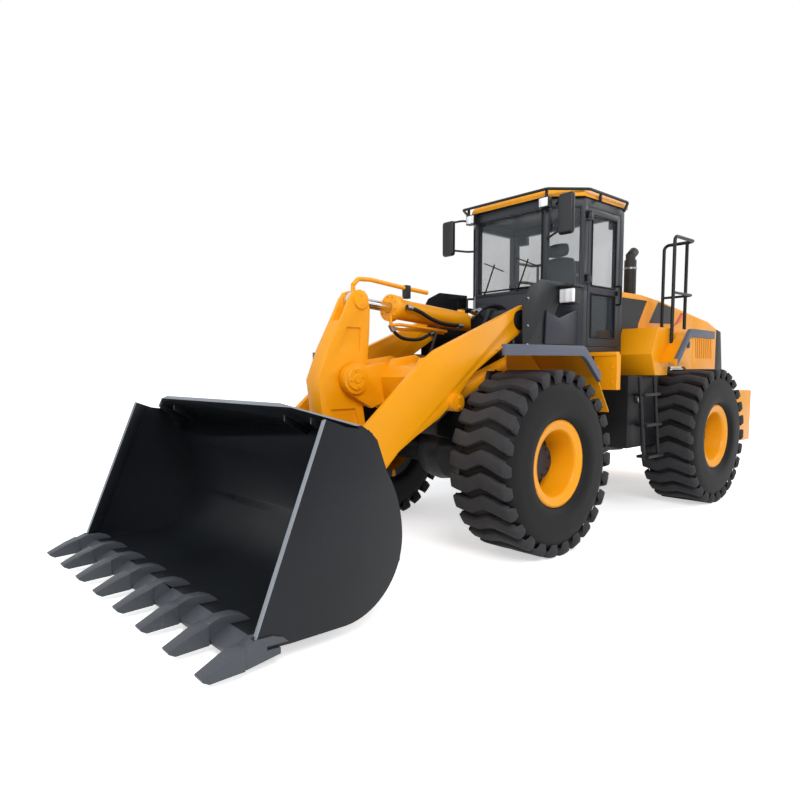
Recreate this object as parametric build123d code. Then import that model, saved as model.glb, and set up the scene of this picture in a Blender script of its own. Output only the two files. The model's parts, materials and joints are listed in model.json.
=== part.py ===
from build123d import *
import math
import os

# Articulated wheel loader. Millimetres, +X forward, +Y to the left, +Z up.
# All pieces are drawn about a point on the ground under the tower, and are moved
# at the end so that the row's origin lies under the middle of the whole machine.

# Driving dimensions of the chassis
wheelbase = 3320.0
track = 2150.0
hinge_x = -1660.0
front_axle_x = hinge_x + wheelbase / 2
rear_axle_x = hinge_x - wheelbase / 2
tyre_radius = 808.5
tyre_width = 597.0
rim_bead_radius = 317.0
rim_flange_radius = 381.0
rim_width = 495.0
pin_gap = 0.4
seat_gap = 0.3

# Driving dimensions of the loading gear, as (x, z)
boom_pin = (-390.0, 2100.0)
bucket_pin = (1880.0, 405.0)
link_pin = (1890.0, 770.0)
crank_pin = (1300.0, 1548.0)
crank_low_pin = (1080.0, 620.0)
crank_top_pin = (1180.0, 2228.0)
lift_rod_pin = (540.0, 1335.0)
trunnion_pin = (-60.0, 1540.0)
boom_inner = 540.0
boom_outer = 605.0
crank_half = 90.0
link_thickness = 40.0
side_gap = 6.0

# Driving dimensions of the bucket
bucket_width = 2982.0
tooth_count = 8
tooth_tip_x = 3376.0
tooth_tip_z = 44.0

# Driving dimensions of the cab and the rear body
cab_front_x = -1000.0
cab_rear_x = -2080.0
cab_half = 750.0
cab_nose_half = 470.0
cab_nose_depth = 280.0
cab_floor_z = 1850.0
cab_floor = 50.0
cab_sill_z = 2440.0
cab_top_z = 3384.0
cab_wall = 60.0
hood_half = 680.0
rear_end_x = -5200.0
deck_half = 1100.0
deck_top = 2080.0
tank_inner = 690.0
tank_outer = 1000.0
tank_rear_x = rear_axle_x + tyre_radius + 31.5

# The row's origin is under the middle of the machine's length
origin_shift = -(tooth_tip_x + rear_end_x) / 2

os.makedirs("parts", exist_ok=True)


def block(x0, x1, y0, y1, z0, z1):
    """A box between two limits on each axis, given in either order."""
    middle = Pos((x0 + x1) / 2, (y0 + y1) / 2, (z0 + z1) / 2)
    return middle * Box(abs(x1 - x0), abs(y1 - y0), abs(z1 - z0))


def plate(points, y0, y1):
    """A flat plate with its outline in X and Z, between two values of Y."""
    face = Plane.XZ.offset(-y1) * make_face(Polyline(*points, close=True))
    return extrude(face, amount=y1 - y0)


def rounded_plate(points, radii, y0, y1):
    """The same plate with its corners rounded, one radius a corner."""
    face = Plane.XZ.offset(-y1) * make_face(FilletPolyline(*points, radius=radii, close=True))
    return extrude(face, amount=y1 - y0)


def slab(points, z0, z1):
    """A flat slab with its outline in X and Y, between two heights."""
    face = Plane.XY.offset(z0) * make_face(Polyline(*points, close=True))
    return extrude(face, amount=z1 - z0)


def disc(pin, radius, y0, y1):
    """A round boss or pin across the machine, centred on (x, z)."""
    return Pos(pin[0], (y0 + y1) / 2, pin[1]) * Rot(90, 0, 0) * Cylinder(radius, y1 - y0)


def rod_between(a, b, radius):
    """A round bar from one point to another."""
    path = Vector(*b) - Vector(*a)
    return extrude(Plane(origin=a, z_dir=path) * Circle(radius), amount=path.length)


def tube(points, radius, bend):
    """A bent round tube along a list of points."""
    path = FilletPolyline(*points, radius=bend) if len(points) > 2 else Line(*points)
    start = Plane(origin=path @ 0, z_dir=path % 0)
    return sweep(start * Circle(radius), path=path)


def both_sides(shape):
    """A shape and its mirror image about the machine's middle plane."""
    return shape + mirror(shape, about=Plane.XZ)


def save(shape, node):
    """Write one sub-part, moved to the row's origin."""
    export_step(Pos(origin_shift, 0, 0) * shape, f"parts/{node}.step")


def toward(a, b, distance):
    """The (x, z) point at a distance from a on the way to b."""
    length = math.dist(a, b)
    return (a[0] + (b[0] - a[0]) * distance / length, a[1] + (b[1] - a[1]) * distance / length)


# Tyres and rims

hub_radius = 205.0
spindle_radius = 120.0
wheel_face = rim_width / 2


lug_count = 26
lug_height = 40.0
lug_width = 112.0
lug_apex = 58.0
lug_turn = 360.0 / lug_count
lug_reach = lug_width / 2 + lug_apex / 2
lug_top = math.sqrt(tyre_radius ** 2 - lug_reach ** 2)
tread_apothem = lug_top - lug_height
sidewall_radius = 570.0


def tyre_ring(apothem, y):
    """A polygon across the wheel's axis with one flat under each lug."""
    plane = Plane(origin=(0, y, 0), x_dir=(0, 0, 1), z_dir=(0, 1, 0))
    return plane * RegularPolygon(apothem, lug_count, major_radius=False, rotation=lug_turn / 2)


def make_tyre():
    """A flat-sided carcass that carries chevron lugs, open in the middle for the rim."""
    half = tyre_width / 2
    bead = rim_width / 2 - 24.0
    shoulder = half - 45
    carcass = loft([tyre_ring(tread_apothem - 85, -half), tyre_ring(tread_apothem, -shoulder),
                    tyre_ring(tread_apothem, shoulder), tyre_ring(tread_apothem - 85, half)], ruled=True)
    for side in (1, -1):
        carcass -= loft([tyre_ring(rim_flange_radius + 20, side * bead),
                         tyre_ring(sidewall_radius, side * (half + 0.01))], ruled=True)
        carcass -= Pos(0, side * (bead + 200), 0) * Rot(90, 0, 0) * Cylinder(rim_flange_radius + 10, 400)
    carcass -= Rot(90, 0, 0) * Cylinder(rim_bead_radius + seat_gap, tyre_width + 100)
    end = half - 12
    outline = [(lug_reach, -end), (lug_reach - lug_width, -end), (-lug_reach, 0), (lug_reach - lug_width, end),
               (lug_reach, end), (lug_width - lug_reach, 0)]
    root = tread_apothem - 90
    lug = extrude(Plane.XY.offset(root) * make_face(Polyline(*outline, close=True)), amount=lug_top - root)
    tyre = carcass + [Rot(0, index * lug_turn, 0) * lug for index in range(lug_count)]
    # The pattern stands on a lug's two outer corners
    return Rot(0, -math.degrees(math.atan2(lug_reach, lug_top)), 0) * tyre


def make_rim(side):
    """A flanged rim with a deep barrel, its disc far inboard and a planetary hub in the middle."""
    lip = 20.0
    barrel = rim_bead_radius - 16.0
    mouth = rim_bead_radius - 34.0
    disc_y = -52.0
    hub_face = -90.0
    spindle_end = 40.0
    outline = [
        (rim_bead_radius, wheel_face - 24.0 + seat_gap), (rim_flange_radius, wheel_face - 24.0 + seat_gap),
        (rim_flange_radius, wheel_face), (rim_flange_radius - lip, wheel_face + 8),
        (mouth + 14, wheel_face - 12), (mouth, wheel_face - 40), (mouth, disc_y), (hub_radius + 20, disc_y),
        (hub_radius - 30, disc_y + 30), (hub_radius - 50, spindle_end + 30), (0, spindle_end + 30),
        (0, spindle_end), (spindle_radius + pin_gap, spindle_end), (spindle_radius + pin_gap, hub_face),
        (hub_radius, hub_face), (hub_radius, disc_y - 24), (barrel, disc_y - 24),
        (barrel, -wheel_face), (rim_flange_radius, -wheel_face), (rim_flange_radius, -wheel_face + 24 - seat_gap),
        (rim_bead_radius, -wheel_face + 24 - seat_gap),
    ]
    rim = revolve(make_face(Polyline(*outline, close=True)), Axis.Y)
    return rim if side > 0 else mirror(rim, about=Plane.XZ)


tyre = make_tyre()
for end, axle_x in (("front", front_axle_x), ("rear", rear_axle_x)):
    for name, side in (("left", 1), ("right", -1)):
        place = Pos(axle_x, side * track / 2, tyre_radius)
        save(place * tyre, f"tyre_{end}_{name}")
        save(place * make_rim(side), f"rim_{end}_{name}")


# Axles: a banjo housing, tapered arms and a spindle in each hub

def make_axle(axle_x):
    spindle_end = track / 2 + 40.0 - pin_gap
    brake_face = track / 2 - 90.0 - pin_gap
    half = [
        (0, 0), (0, 290), (130, 270), (250, 145), (brake_face - 190, 125), (brake_face - 150, 190),
        (brake_face, 190), (brake_face, spindle_radius), (spindle_end, spindle_radius), (spindle_end, 0),
    ]
    face = make_face(Polyline(*[(radius, y) for y, radius in half], close=True))
    axle = both_sides(revolve(face, Axis.Y))
    saddle = both_sides(block(-190, 190, 345, 560, 100, 150 - seat_gap))
    return Pos(axle_x, 0, tyre_radius) * (axle + saddle)


save(make_axle(front_axle_x), "front_axle")
save(make_axle(rear_axle_x), "rear_axle")
saddle_top = tyre_radius + 150.0


# Front frame: tower, axle seat, boom trunnions and the two hinge lugs

tower_inner = 290.0
tower_outer = 330.0
trunnion_radius = 60.0
hinge_radius = 150.0
hinge_pin_radius = 52.0
hinge_levels = (640.0, 1240.0)
hinge_lug = 70.0
support_inner = 545.0
support_outer = 585.0
lift_pin_radius = 40.0


front_back_x = hinge_x + 260.0
steer_lug_half = 65.0
steer_slot = 30.0


def make_front_frame():
    side = plate([(front_back_x, 600), (front_axle_x - 420, 600), (front_axle_x - 260, 975), (front_axle_x + 300, 975),
                  (front_axle_x + 470, 1020), (front_axle_x + 470, 1130), (180, 1330), (-40, 1690), (-200, 2060),
                  (-290, 2215), (-490, 2215), (-580, 2080), (-700, 1700), (-950, 1400), (front_back_x, 1300)],
                 tower_inner, tower_outer)
    side += disc(boom_pin, 110, tower_outer, boom_inner - seat_gap)
    side += disc(boom_pin, trunnion_radius, tower_outer, boom_outer + 14)
    side += disc(boom_pin, 95, boom_outer + seat_gap, boom_outer + 14)
    # An oval lightening hole in each side plate, ahead of the hinge
    side -= disc((-900, 1000), 120, tower_inner - 1, tower_outer + 1)
    side -= disc((-700, 1000), 120, tower_inner - 1, tower_outer + 1)
    side -= block(-900, -700, tower_inner - 1, tower_outer + 1, 880, 1120)
    seat = block(front_axle_x - 260, front_axle_x + 260, tower_outer, support_outer, saddle_top, saddle_top + 45)
    support = plate([(-230, saddle_top + 20), (230, saddle_top + 20), (60, 1480), (30, 1610), (-150, 1610),
                     (-170, 1480)], support_inner, support_outer)
    side += seat + support
    for y0, y1 in ((tower_inner - 10, tower_outer + 10), (support_inner, support_outer + 10)):
        side -= disc(trunnion_pin, lift_pin_radius + pin_gap, y0, y1)
    frame = both_sides(side)
    frame += block(front_back_x, front_axle_x - 420, -tower_inner, tower_inner, 600, 640)
    frame += block(front_back_x, front_back_x + 40, -tower_inner, tower_inner, 640, 1300)
    frame += block(front_axle_x + 430, front_axle_x + 470, -tower_inner, tower_inner, 1020, 1130)
    frame += plate([(-700, 1650), (-660, 1650), (-560, 2060), (-600, 2060)], -tower_inner, tower_inner)
    # The tilt cylinder's base ears stand on the cross plate, coaxial with the boom's trunnions
    ear = rounded_plate([(-640, 1850), (-560, 1800), (-310, 2040), (-310, 2180), (-440, 2180), (-620, 2040)],
                        [1, 1, 60, 60, 60, 1], 56, 96)
    frame += both_sides(ear)
    frame += disc(boom_pin, 45, -96, 96)
    for level in hinge_levels:
        lug = block(front_back_x, hinge_x, -hinge_radius, hinge_radius, level - hinge_lug / 2, level + hinge_lug / 2)
        lug += Pos(hinge_x, 0, level) * Cylinder(hinge_radius, hinge_lug)
        lug -= Pos(hinge_x, 0, level) * Cylinder(hinge_pin_radius + pin_gap, hinge_lug + 2)
        frame += lug
    for side_sign in (1, -1):
        for z0, z1 in ((steer_z - steer_lug_half, steer_z - steer_slot), (steer_z + steer_slot, steer_z + steer_lug_half)):
            lug_line = [(front_back_x, 200), (front_back_x, 430), (steer_eye[0] + 30, 450), (steer_eye[0] - 20, 440),
                        (steer_eye[0] - 45, 400), (steer_eye[0] - 30, 340), (steer_eye[0] + 10, 200)]
            frame += slab([(x, side_sign * y) for x, y in lug_line], z0, z1)
    return frame


# Steering cylinders lie level between the frames, one on each side
steer_z = 930.0
steer_base = (hinge_x - 850.0, 445.0)
steer_eye = (hinge_x + 170.0, 390.0)

save(make_front_frame(), "front_frame")


# Front fenders: a bent sheet over each tyre with an inner skirt and a trim lip

fender_inner = 690.0
fender_outer = 1300.0
fender_sheet = 12.0
fender_line = [(front_axle_x + x, z) for x, z in ((720, 1790), (-420, 1800), (-700, 1560), (-930, 1220))]
fender_tip = front_axle_x - 68.0


def fender_sheets(line, inner, bends):
    """A bent sheet along a line of (x, z) points, one bend radius for each inner point, with a deeper lip outside."""
    lower = [(x, z - 14) for x, z in line[::-1]]
    sheet = rounded_plate(line + lower, [1, *bends, 1, 1, *[radius + 14 for radius in bends[::-1]], 1], inner,
                          fender_outer - 40)
    upper = [(x, z + 28) for x, z in line[:3]]
    under = [(x, z - 60) for x, z in line[2::-1]]
    lip = rounded_plate(upper + under, [1, bends[0], 1, 1, bends[0] + 60, 1], fender_outer - 40, fender_outer)
    return sheet + lip


def make_front_fender():
    x0 = front_axle_x
    fender = fender_sheets(fender_line, fender_inner, [110, 110])
    # The sheet's inner front corner is cut back so that the boom's side is free
    fender -= slab([(fender_tip, fender_inner - 10), (x0 + 730, fender_inner - 10), (x0 + 730, fender_outer - 30),
                    (x0 + 640, fender_outer - 40)], 1600, 1795)
    skirt = plate([(fender_tip, 1772), (x0 - 420, 1780), (x0 - 690, 1546), (x0 - 620, 1300), (fender_tip, 1300)],
                  fender_inner, fender_inner + 14)
    arm = block(x0 - 220, x0 - 80, support_outer, fender_inner, 1330, 1400)
    return fender + skirt + arm


save(both_sides(make_front_fender()), "front_fenders")


# Headlamps under the arch of a wide cover plate that rises from the fenders' inner skirts

lamp_x = front_axle_x - 980.0
lamp_y = 700.0
lamp_z = 2360.0


def make_headlamp():
    x0 = front_axle_x
    line = [(x0 - 330, 1790), (x0 - 330, 2250), (x0 - 440, 2420), (x0 - 620, 2500), (lamp_x - 110, 2500),
            (lamp_x - 110, 2440), (lamp_x + 60, 2440), (lamp_x + 60, 2270), (x0 - 860, 2180), (x0 - 830, 1800),
            (x0 - 700, 1570), (x0 - 420, 1790)]
    outer = fender_inner - seat_gap
    bracket = rounded_plate(line, [1, 60, 60, 60, 1, 1, 20, 20, 60, 60, 1, 1], outer - 12, outer)
    arch = block(lamp_x - 110, lamp_x + 60, outer - 4, lamp_y + 150, lamp_z + 90, lamp_z + 104)
    housing = block(lamp_x - 110, lamp_x + 20, outer - 4, lamp_y + 130, lamp_z - 80, lamp_z + 95)
    lens = block(lamp_x + 20, lamp_x + 50, lamp_y, lamp_y + 118, lamp_z - 65, lamp_z + 65)
    return bracket + arch + housing + lens


save(both_sides(make_headlamp()), "headlamps")


# Boom: two cranked plates, a cross tube, and the saddle cheeks of the bell crank

lift_y = 430.0
lift_eye = 80.0
bucket_pin_radius = 50.0
nose_radius = 115.0
cheek_inner = crank_half + side_gap
cheek_outer = cheek_inner + 50.0
boom_top_line = [(-541, 2213), (-458, 2248), (386, 1929), (751, 1789), (942, 1667), (1559, 1163), (1650, 930),
                 (1750, 690), (1820, 503)]
boom_low_line = [(1795, 330), (1600, 500), (1360, 812), (1205, 954), (1012, 1065), (727, 1205), (470, 1400),
                 (279, 1593), (-191, 1860), (-447, 2000)]


def make_boom():
    side = plate(boom_top_line + [bucket_pin] + boom_low_line, boom_inner, boom_outer)
    side += disc(bucket_pin, nose_radius, boom_inner, boom_outer)
    side += disc(boom_pin, 110, boom_inner, boom_outer)
    side += disc(lift_rod_pin, 80, boom_inner, boom_outer + 50)
    side += disc(lift_rod_pin, 60, lift_y + lift_eye / 2 + side_gap, boom_inner)
    side += disc(bucket_pin, bucket_pin_radius, boom_inner - 65, boom_outer + 70)
    # An inner ear hangs from the cross box and holds the lift pin's other end
    ear_face = lift_y - lift_eye / 2 - side_gap
    side += plate([(490, 1290), (600, 1250), (900, 1400), (780, 1560), (640, 1480), (490, 1380)],
                  ear_face - 40, ear_face)
    side -= disc(boom_pin, trunnion_radius + pin_gap, boom_inner - 1, boom_outer + 1)
    boom = both_sides(side)
    # A welded box joins the two plates, with an open web of ribs on its rear face
    box_line = [(570, 1590), (610, 1690), (930, 1650), (1000, 1560), (960, 1350), (800, 1290), (700, 1350),
                (700, 1500)]
    boom += plate(box_line, -boom_inner, boom_inner)
    boom -= both_sides(block(690, 760, 215, 320, 1370, 1480))
    for y in (cheek_outer, boom_inner - 30):
        rib = plate([(520, 1640), (610, 1690), (930, 1650), (880, 1720), (600, 1760), (520, 1730)], y, y + 30)
        boom += both_sides(rib)
    cheek = plate([(780, 1400), (1100, 1290), (1350, 1420), (1425, 1548), (1300, 1690), (1150, 1660), (940, 1690),
                   (820, 1640)], cheek_inner, cheek_outer)
    cheek += disc(crank_pin, 130, cheek_inner, cheek_outer + 30)
    boom += both_sides(cheek)
    boom += disc(crank_pin, 60, -cheek_outer, cheek_outer)
    return boom


save(make_boom(), "boom")


# Bell crank: a banana-shaped casting with a fork at its top end

eye_half = 45.0
fork_slot = eye_half + side_gap


def make_bell_crank():
    body = plate([(1096, 2262), (1130, 2306), (1185, 2318), (1240, 2302), (1290, 2240), (1350, 2120), (1527, 1800),
                  (1635, 1542), (1600, 1240), (1440, 900), (1190, 560), (1080, 525), (985, 600), (1000, 760),
                  (1130, 1110), (1162, 1314), (1105, 1712), (1082, 1930), (1072, 2150)], -crank_half, crank_half)
    body -= plate([(900, 2050), (1600, 2050), (1600, 2500), (900, 2500)], -fork_slot, fork_slot)
    # The casting is waisted on both sides between its three bosses
    for pocket in ([(1180, 1990), (1330, 1990), (1420, 1780), (1190, 1780)], [(1250, 1290), (1510, 1290), (1180, 760), (1100, 800)]):
        body -= both_sides(plate(pocket, crank_half - 14, crank_half + 1))
    body -= disc(crank_pin, 60 + pin_gap, -crank_half - 1, crank_half + 1)
    body += both_sides(disc(crank_top_pin, 78, crank_half, crank_half + 18))
    return body


save(make_bell_crank(), "bell_crank")


# Dump link: two bars with a web, pinned to the bucket and alongside the crank

link_inner = crank_half + side_gap
link_outer = link_inner + link_thickness
ear_inner = 40.0
ear_outer = crank_half


def make_dump_link():
    upper = [(crank_low_pin[0], crank_low_pin[1] + 60), (link_pin[0], link_pin[1] + 60)]
    lower = [(link_pin[0], link_pin[1] - 60), (crank_low_pin[0], crank_low_pin[1] - 60)]
    bar = plate(upper + lower, link_inner, link_outer)
    bar += disc(crank_low_pin, 95, link_inner, link_outer + 12)
    bar += disc(link_pin, 95, link_inner, link_outer + 12)
    link = both_sides(bar)
    web = toward(link_pin, crank_low_pin, 270)
    link += block(web[0] - 40, web[0] + 40, -link_outer, link_outer, web[1] - 40, web[1] + 40)
    link += disc(link_pin, 45, -link_outer, link_outer)
    return link


save(make_dump_link(), "dump_link")


# Bucket: rolled shell, side plates, top guard and hinge ears

bucket_half = bucket_width / 2


bucket_lip_x = 3000.0
bucket_cheek = 25.0
floor_rear_x = 2485.0
floor_top_z = 132.0
guard_flat = 900.0


def make_bucket():
    # The shell's section: flat floor, two arcs for the rolled back, then the sloping spill guard
    with BuildSketch(Plane.XZ.offset(-bucket_half)) as section:
        with BuildLine():
            Polyline((floor_rear_x, floor_top_z - 28), (2839, floor_top_z - 22), (bucket_lip_x, 120),
                     (bucket_lip_x, 142), (2839, floor_top_z), (floor_rear_x, floor_top_z))
            ThreePointArc((floor_rear_x, floor_top_z), (2123, 288), (2019, 590))
            ThreePointArc((2019, 590), (2052, 790), (2142, 981))
            Polyline((2142, 981), (2256, 1222), (2515, 1388), (2515, 1412), (2240, 1240), (2121, 990))
            ThreePointArc((2121, 990), (2030, 795), (1997, 591))
            ThreePointArc((1997, 591), (2105, 274), (floor_rear_x, floor_top_z - 28))
        make_face()
    shell = extrude(section.sketch, amount=bucket_width)
    shell = Pos(0, bucket_half - shell.bounding_box().max.Y, 0) * shell
    # The spill guard is full height in the middle and tapers down to both sides
    drop = Plane.YZ.offset(2200) * make_face(Polyline((guard_flat, 1413), (bucket_half + 1, 1413),
                                                      (bucket_half + 1, 1292), close=True))
    shell -= both_sides(extrude(drop, amount=400))
    outer = [(3058, 186), (2839, 110), (2482, 104), (2289, 145), (2189, 198), (2105, 274), (2019, 417),
             (1997, 591), (2028, 757), (2121, 990), (2201, 1197), (2269, 1263), (2439, 1288), (2582, 1341)]
    cheek = plate(outer, bucket_half - bucket_cheek, bucket_half)
    # A wear strip doubles the cheek's front edge, and a gusset stiffens its upper corner
    cheek += plate([(3052, 200), (2960, 200), (2500, 1300), (2582, 1335)], bucket_half - bucket_cheek - 16,
                   bucket_half - bucket_cheek)
    bucket = shell + both_sides(cheek)
    corner = [(2256, 1222), (2470, 1330), (2470, 1290), (2300, 1190)]
    for y in (bucket_half - 320, bucket_half - 620):
        bucket += both_sides(plate(corner, y, y + 14))
    for y0 in (boom_inner - 10 - 50, boom_outer + 10):
        ear = plate([(1820, 330), (1960, 300), (2130, 240), (2040, 420), (2015, 560), (1930, 505)], y0, y0 + 50)
        ear += disc(bucket_pin, 105, y0, y0 + 50)
        bucket += both_sides(ear)
    for side in (1, -1):
        y0 = min(side * ear_inner, side * ear_outer)
        y1 = max(side * ear_inner, side * ear_outer)
        bucket += plate([(1850, 860), (1930, 680), (2020, 700), (2030, 757), (2080, 880)], y0, y1)
        bucket += disc(link_pin, 100, y0, y1)
    bucket -= disc(link_pin, 45 + pin_gap, -ear_outer - 1, ear_outer + 1)
    return bucket - both_sides(disc(bucket_pin, bucket_pin_radius + pin_gap, boom_inner - 80, boom_outer + 80))


save(make_bucket(), "bucket")


# The hinge pins of the bucket are stubs of the boom's noses, so the ears are bored for them

tooth_inset = 34.0
tooth_pitch = (bucket_width - 2 * tooth_inset) / (tooth_count - 1)
adapter_half = 46.0
tooth_root_x = 3140.0


def make_bucket_edge():
    front = bucket_lip_x + seat_gap
    edge = plate([(front, 108), (3130, 60), (3130, 84), (front, 142)], -bucket_half, bucket_half)
    # Each adapter straddles the lip with a long strap on the floor and a short one beneath it
    adapter = plate([(2865, 134.4), (2895, 165), (2960, 190), (3063, 195), (3190, 150), (3190, 64), (3125, 52),
                     (2915, 80), (2915, 114.2), (front - 0.1, 119.4), (front - 0.1, 142.4)],
                    -adapter_half, adapter_half)
    blade = plate([(tooth_root_x, 172), (3230, 143), (tooth_tip_x, 80), (tooth_tip_x - 6, 64),
                   (tooth_tip_x - 41, tooth_tip_z), (tooth_root_x, 54)], -60, 60)
    blade &= slab([(tooth_root_x, -60), (tooth_tip_x, -44), (tooth_tip_x, 44), (tooth_root_x, 60)], 0, 300)
    for index in range(tooth_count):
        edge += Pos(0, -bucket_half + tooth_inset + index * tooth_pitch, 0) * (adapter + blade)
    cheek_slot = plate([(3074, 186), (3066, 176), (2839, 102), (2700, 102), (2700, 400), (3074, 400)],
                       bucket_half - bucket_cheek - 16 - seat_gap, bucket_half + seat_gap)
    return edge - both_sides(cheek_slot)


save(make_bucket_edge(), "bucket_edge")


# Tilt cylinder, on the machine's middle line

tilt_length = math.dist(boom_pin, crank_top_pin)
tilt_angle = math.degrees(math.atan2(crank_top_pin[1] - boom_pin[1], crank_top_pin[0] - boom_pin[0]))
gland_reach = 1165.0
tilt_radius = 95.0
tilt_rod_radius = 45.0


def along_x(radius, x0, x1):
    return Pos((x0 + x1) / 2, 0, 0) * Rot(0, 90, 0) * Cylinder(radius, x1 - x0)


def make_cylinder(radius, rod_radius, flange, x_start, x_gland, x_bottom):
    """Barrel along +X with a gland flange and two oil ports, hollow for its rod."""
    barrel = along_x(radius, x_start, x_gland)
    barrel += along_x(flange, x_gland - 55, x_gland)
    for x in (x_start + 45, x_gland - 120):
        barrel += block(x - 30, x + 30, -26, 26, radius - 12, radius + 22)
    barrel -= along_x(rod_radius + pin_gap, x_bottom, x_gland + 1)
    return barrel


tilt_place = Pos(boom_pin[0], 0, boom_pin[1]) * Rot(0, -tilt_angle, 0)
barrel = make_cylinder(tilt_radius, tilt_rod_radius, tilt_radius + 28, 130, gland_reach, 330)
barrel += along_x(60, 40, 140) & block(0, 150, -50, 50, -60, 60)
barrel += Rot(90, 0, 0) * Cylinder(85, 100)
barrel -= Rot(90, 0, 0) * Cylinder(45 + pin_gap, 120)
save(tilt_place * barrel, "tilt_barrel")

rod = along_x(tilt_rod_radius, 640, tilt_length - 60)
rod += Pos(tilt_length, 0, 0) * Rot(90, 0, 0) * Cylinder(80, 2 * eye_half)
rod -= Pos(tilt_length, 0, 0) * Rot(90, 0, 0) * Cylinder(38, 120)
save(tilt_place * rod, "tilt_rod")


# Lift cylinders, hung on trunnions in the front frame

lift_radius = 86.0
lift_rod_radius = 45.0
lift_length = math.dist(trunnion_pin, lift_rod_pin)
lift_angle = math.degrees(math.atan2(lift_rod_pin[1] - trunnion_pin[1], lift_rod_pin[0] - trunnion_pin[0]))
lift_gland = lift_length - 135.0
lift_tail = lift_gland - 985.0
lift_place = Pos(trunnion_pin[0], lift_y, trunnion_pin[1]) * Rot(0, -lift_angle, 0)

barrel = make_cylinder(lift_radius, lift_rod_radius, lift_radius + 14, lift_tail, lift_gland, lift_tail + 60)
barrel = lift_place * barrel
collar = disc(trunnion_pin, 70, lift_y - 90, lift_y + 90) - lift_place * along_x(lift_radius - 5, -100, 100)
barrel += collar
trunnions = disc(trunnion_pin, lift_pin_radius, tower_inner, lift_y - 60)
trunnions += disc(trunnion_pin, lift_pin_radius, lift_y + 60, support_outer)
save(both_sides(barrel + trunnions), "lift_barrels")

rod = along_x(lift_rod_radius, lift_gland - 870, lift_length - 60)
rod += Pos(lift_length, 0, 0) * Rot(90, 0, 0) * Cylinder(78, lift_eye)
rod -= Pos(lift_length, 0, 0) * Rot(90, 0, 0) * Cylinder(36, 120)
save(both_sides(lift_place * rod), "lift_rods")


# Steering cylinders

steer_radius = 48.0
steer_rod_radius = 22.0
steer_length = math.dist(steer_base, steer_eye)
steer_angle = math.degrees(math.atan2(steer_eye[1] - steer_base[1], steer_eye[0] - steer_base[0]))
steer_gland = 655.0
for name, side in (("left", 1), ("right", -1)):
    place = Pos(steer_base[0], steer_base[1] * side, steer_z) * Rot(0, 0, steer_angle * side)
    barrel = along_x(steer_radius, 90, steer_gland) + along_x(30, 30, 100) + Cylinder(48, 56)
    barrel -= along_x(steer_rod_radius + pin_gap, 110, steer_gland + 1)
    barrel -= Cylinder(25 + pin_gap, 60)
    save(place * barrel, f"steer_barrel_{name}")
    rod = along_x(steer_rod_radius, 373, steer_length - 30)
    rod += Pos(steer_length, 0, 0) * Cylinder(44, 50)
    rod -= Pos(steer_length, 0, 0) * Cylinder(24, 60)
    save(place * rod, f"steer_rod_{name}")


# Rear frame: two long side plates, cross plates, the hinge forks and the axle seat

rail_inner = 260.0
rail_outer = 300.0
hood_wall = 40.0
hood_inner = hood_half - hood_wall


frame_front_x = hinge_x - 270.0
frame_end_x = -4750.0
frame_plate = 40.0
mount_low = 1140.0


def make_rear_frame():
    axle_x = rear_axle_x
    rail = plate([(frame_front_x, 600), (frame_front_x - 570, 560), (axle_x + 420, 640), (axle_x + 230, saddle_top + 20),
                  (axle_x - 240, saddle_top + 20), (axle_x - 480, 700), (frame_end_x, 700), (frame_end_x, 1300),
                  (frame_front_x - 670, 1300), (frame_front_x, 1350)], rail_inner, rail_outer)
    for x in (-4420, -4100, -3860):
        rail -= disc((x, 1120), 70, rail_inner - 1, rail_outer + 1)
    seat = block(axle_x - 240, axle_x + 240, rail_outer, 560, saddle_top, saddle_top + 45)
    frame = both_sides(rail + seat)
    for x, z0, z1 in ((frame_front_x - frame_plate, 600, 1350), (frame_front_x - 630, 565, 1290),
                      (axle_x - 520, 720, 1270), (frame_end_x, 700, 1250)):
        frame += block(x, x + frame_plate, -rail_inner, rail_inner, z0, z1)
    for level in hinge_levels:
        for z0 in (level - hinge_lug / 2 - 46, level + hinge_lug / 2 + 6):
            lug = block(frame_front_x, hinge_x, -130, 130, z0, z0 + 40) + Pos(hinge_x, 0, z0 + 20) * Cylinder(130, 40)
            frame += lug
        frame += Pos(hinge_x, 0, level) * Cylinder(hinge_pin_radius, hinge_lug + 92)
    base_x, base_y = steer_base
    for side in (1, -1):
        for z0 in (steer_z - 66, steer_z + 31):
            frame += slab([(base_x + 70, side * rail_outer), (base_x + 70, side * 410), (base_x + 40, side * 500),
                           (base_x - 40, side * 500), (base_x - 90, side * rail_outer)], z0, z0 + 35)
        frame += Pos(base_x, side * base_y, steer_z) * Cylinder(25, 132)
        carrier = side * (hood_inner - seat_gap)
        for x0, top in ((-2000, cab_floor_z - 100), (-2900, 1760), (-4280, 1700)):
            frame += block(x0 - 100, x0, side * rail_outer, carrier, mount_low, mount_low + 100)
            frame += block(x0 - 100, x0, side * 560, carrier, mount_low, top)
        frame += block(-2100, -1150, side * 540, carrier, cab_floor_z - 150, cab_floor_z - cab_floor - seat_gap)
        frame += block(-2430, -2330, side * rail_outer, side * tank_inner, mount_low, mount_low + 100)
    return frame


save(make_rear_frame(), "rear_frame")


# Engine, as one plain heavy block in its place under the hood
save(block(-4350, -3000, -rail_outer, rail_outer, 1300 + seat_gap, 2050), "engine_block")


# Hood: a hollow shell that slopes down to the rear

hood_front_x = -2130.0
hood_rear_x = -4900.0
louvre_count = 9
louvre_pitch = 62.0


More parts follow.
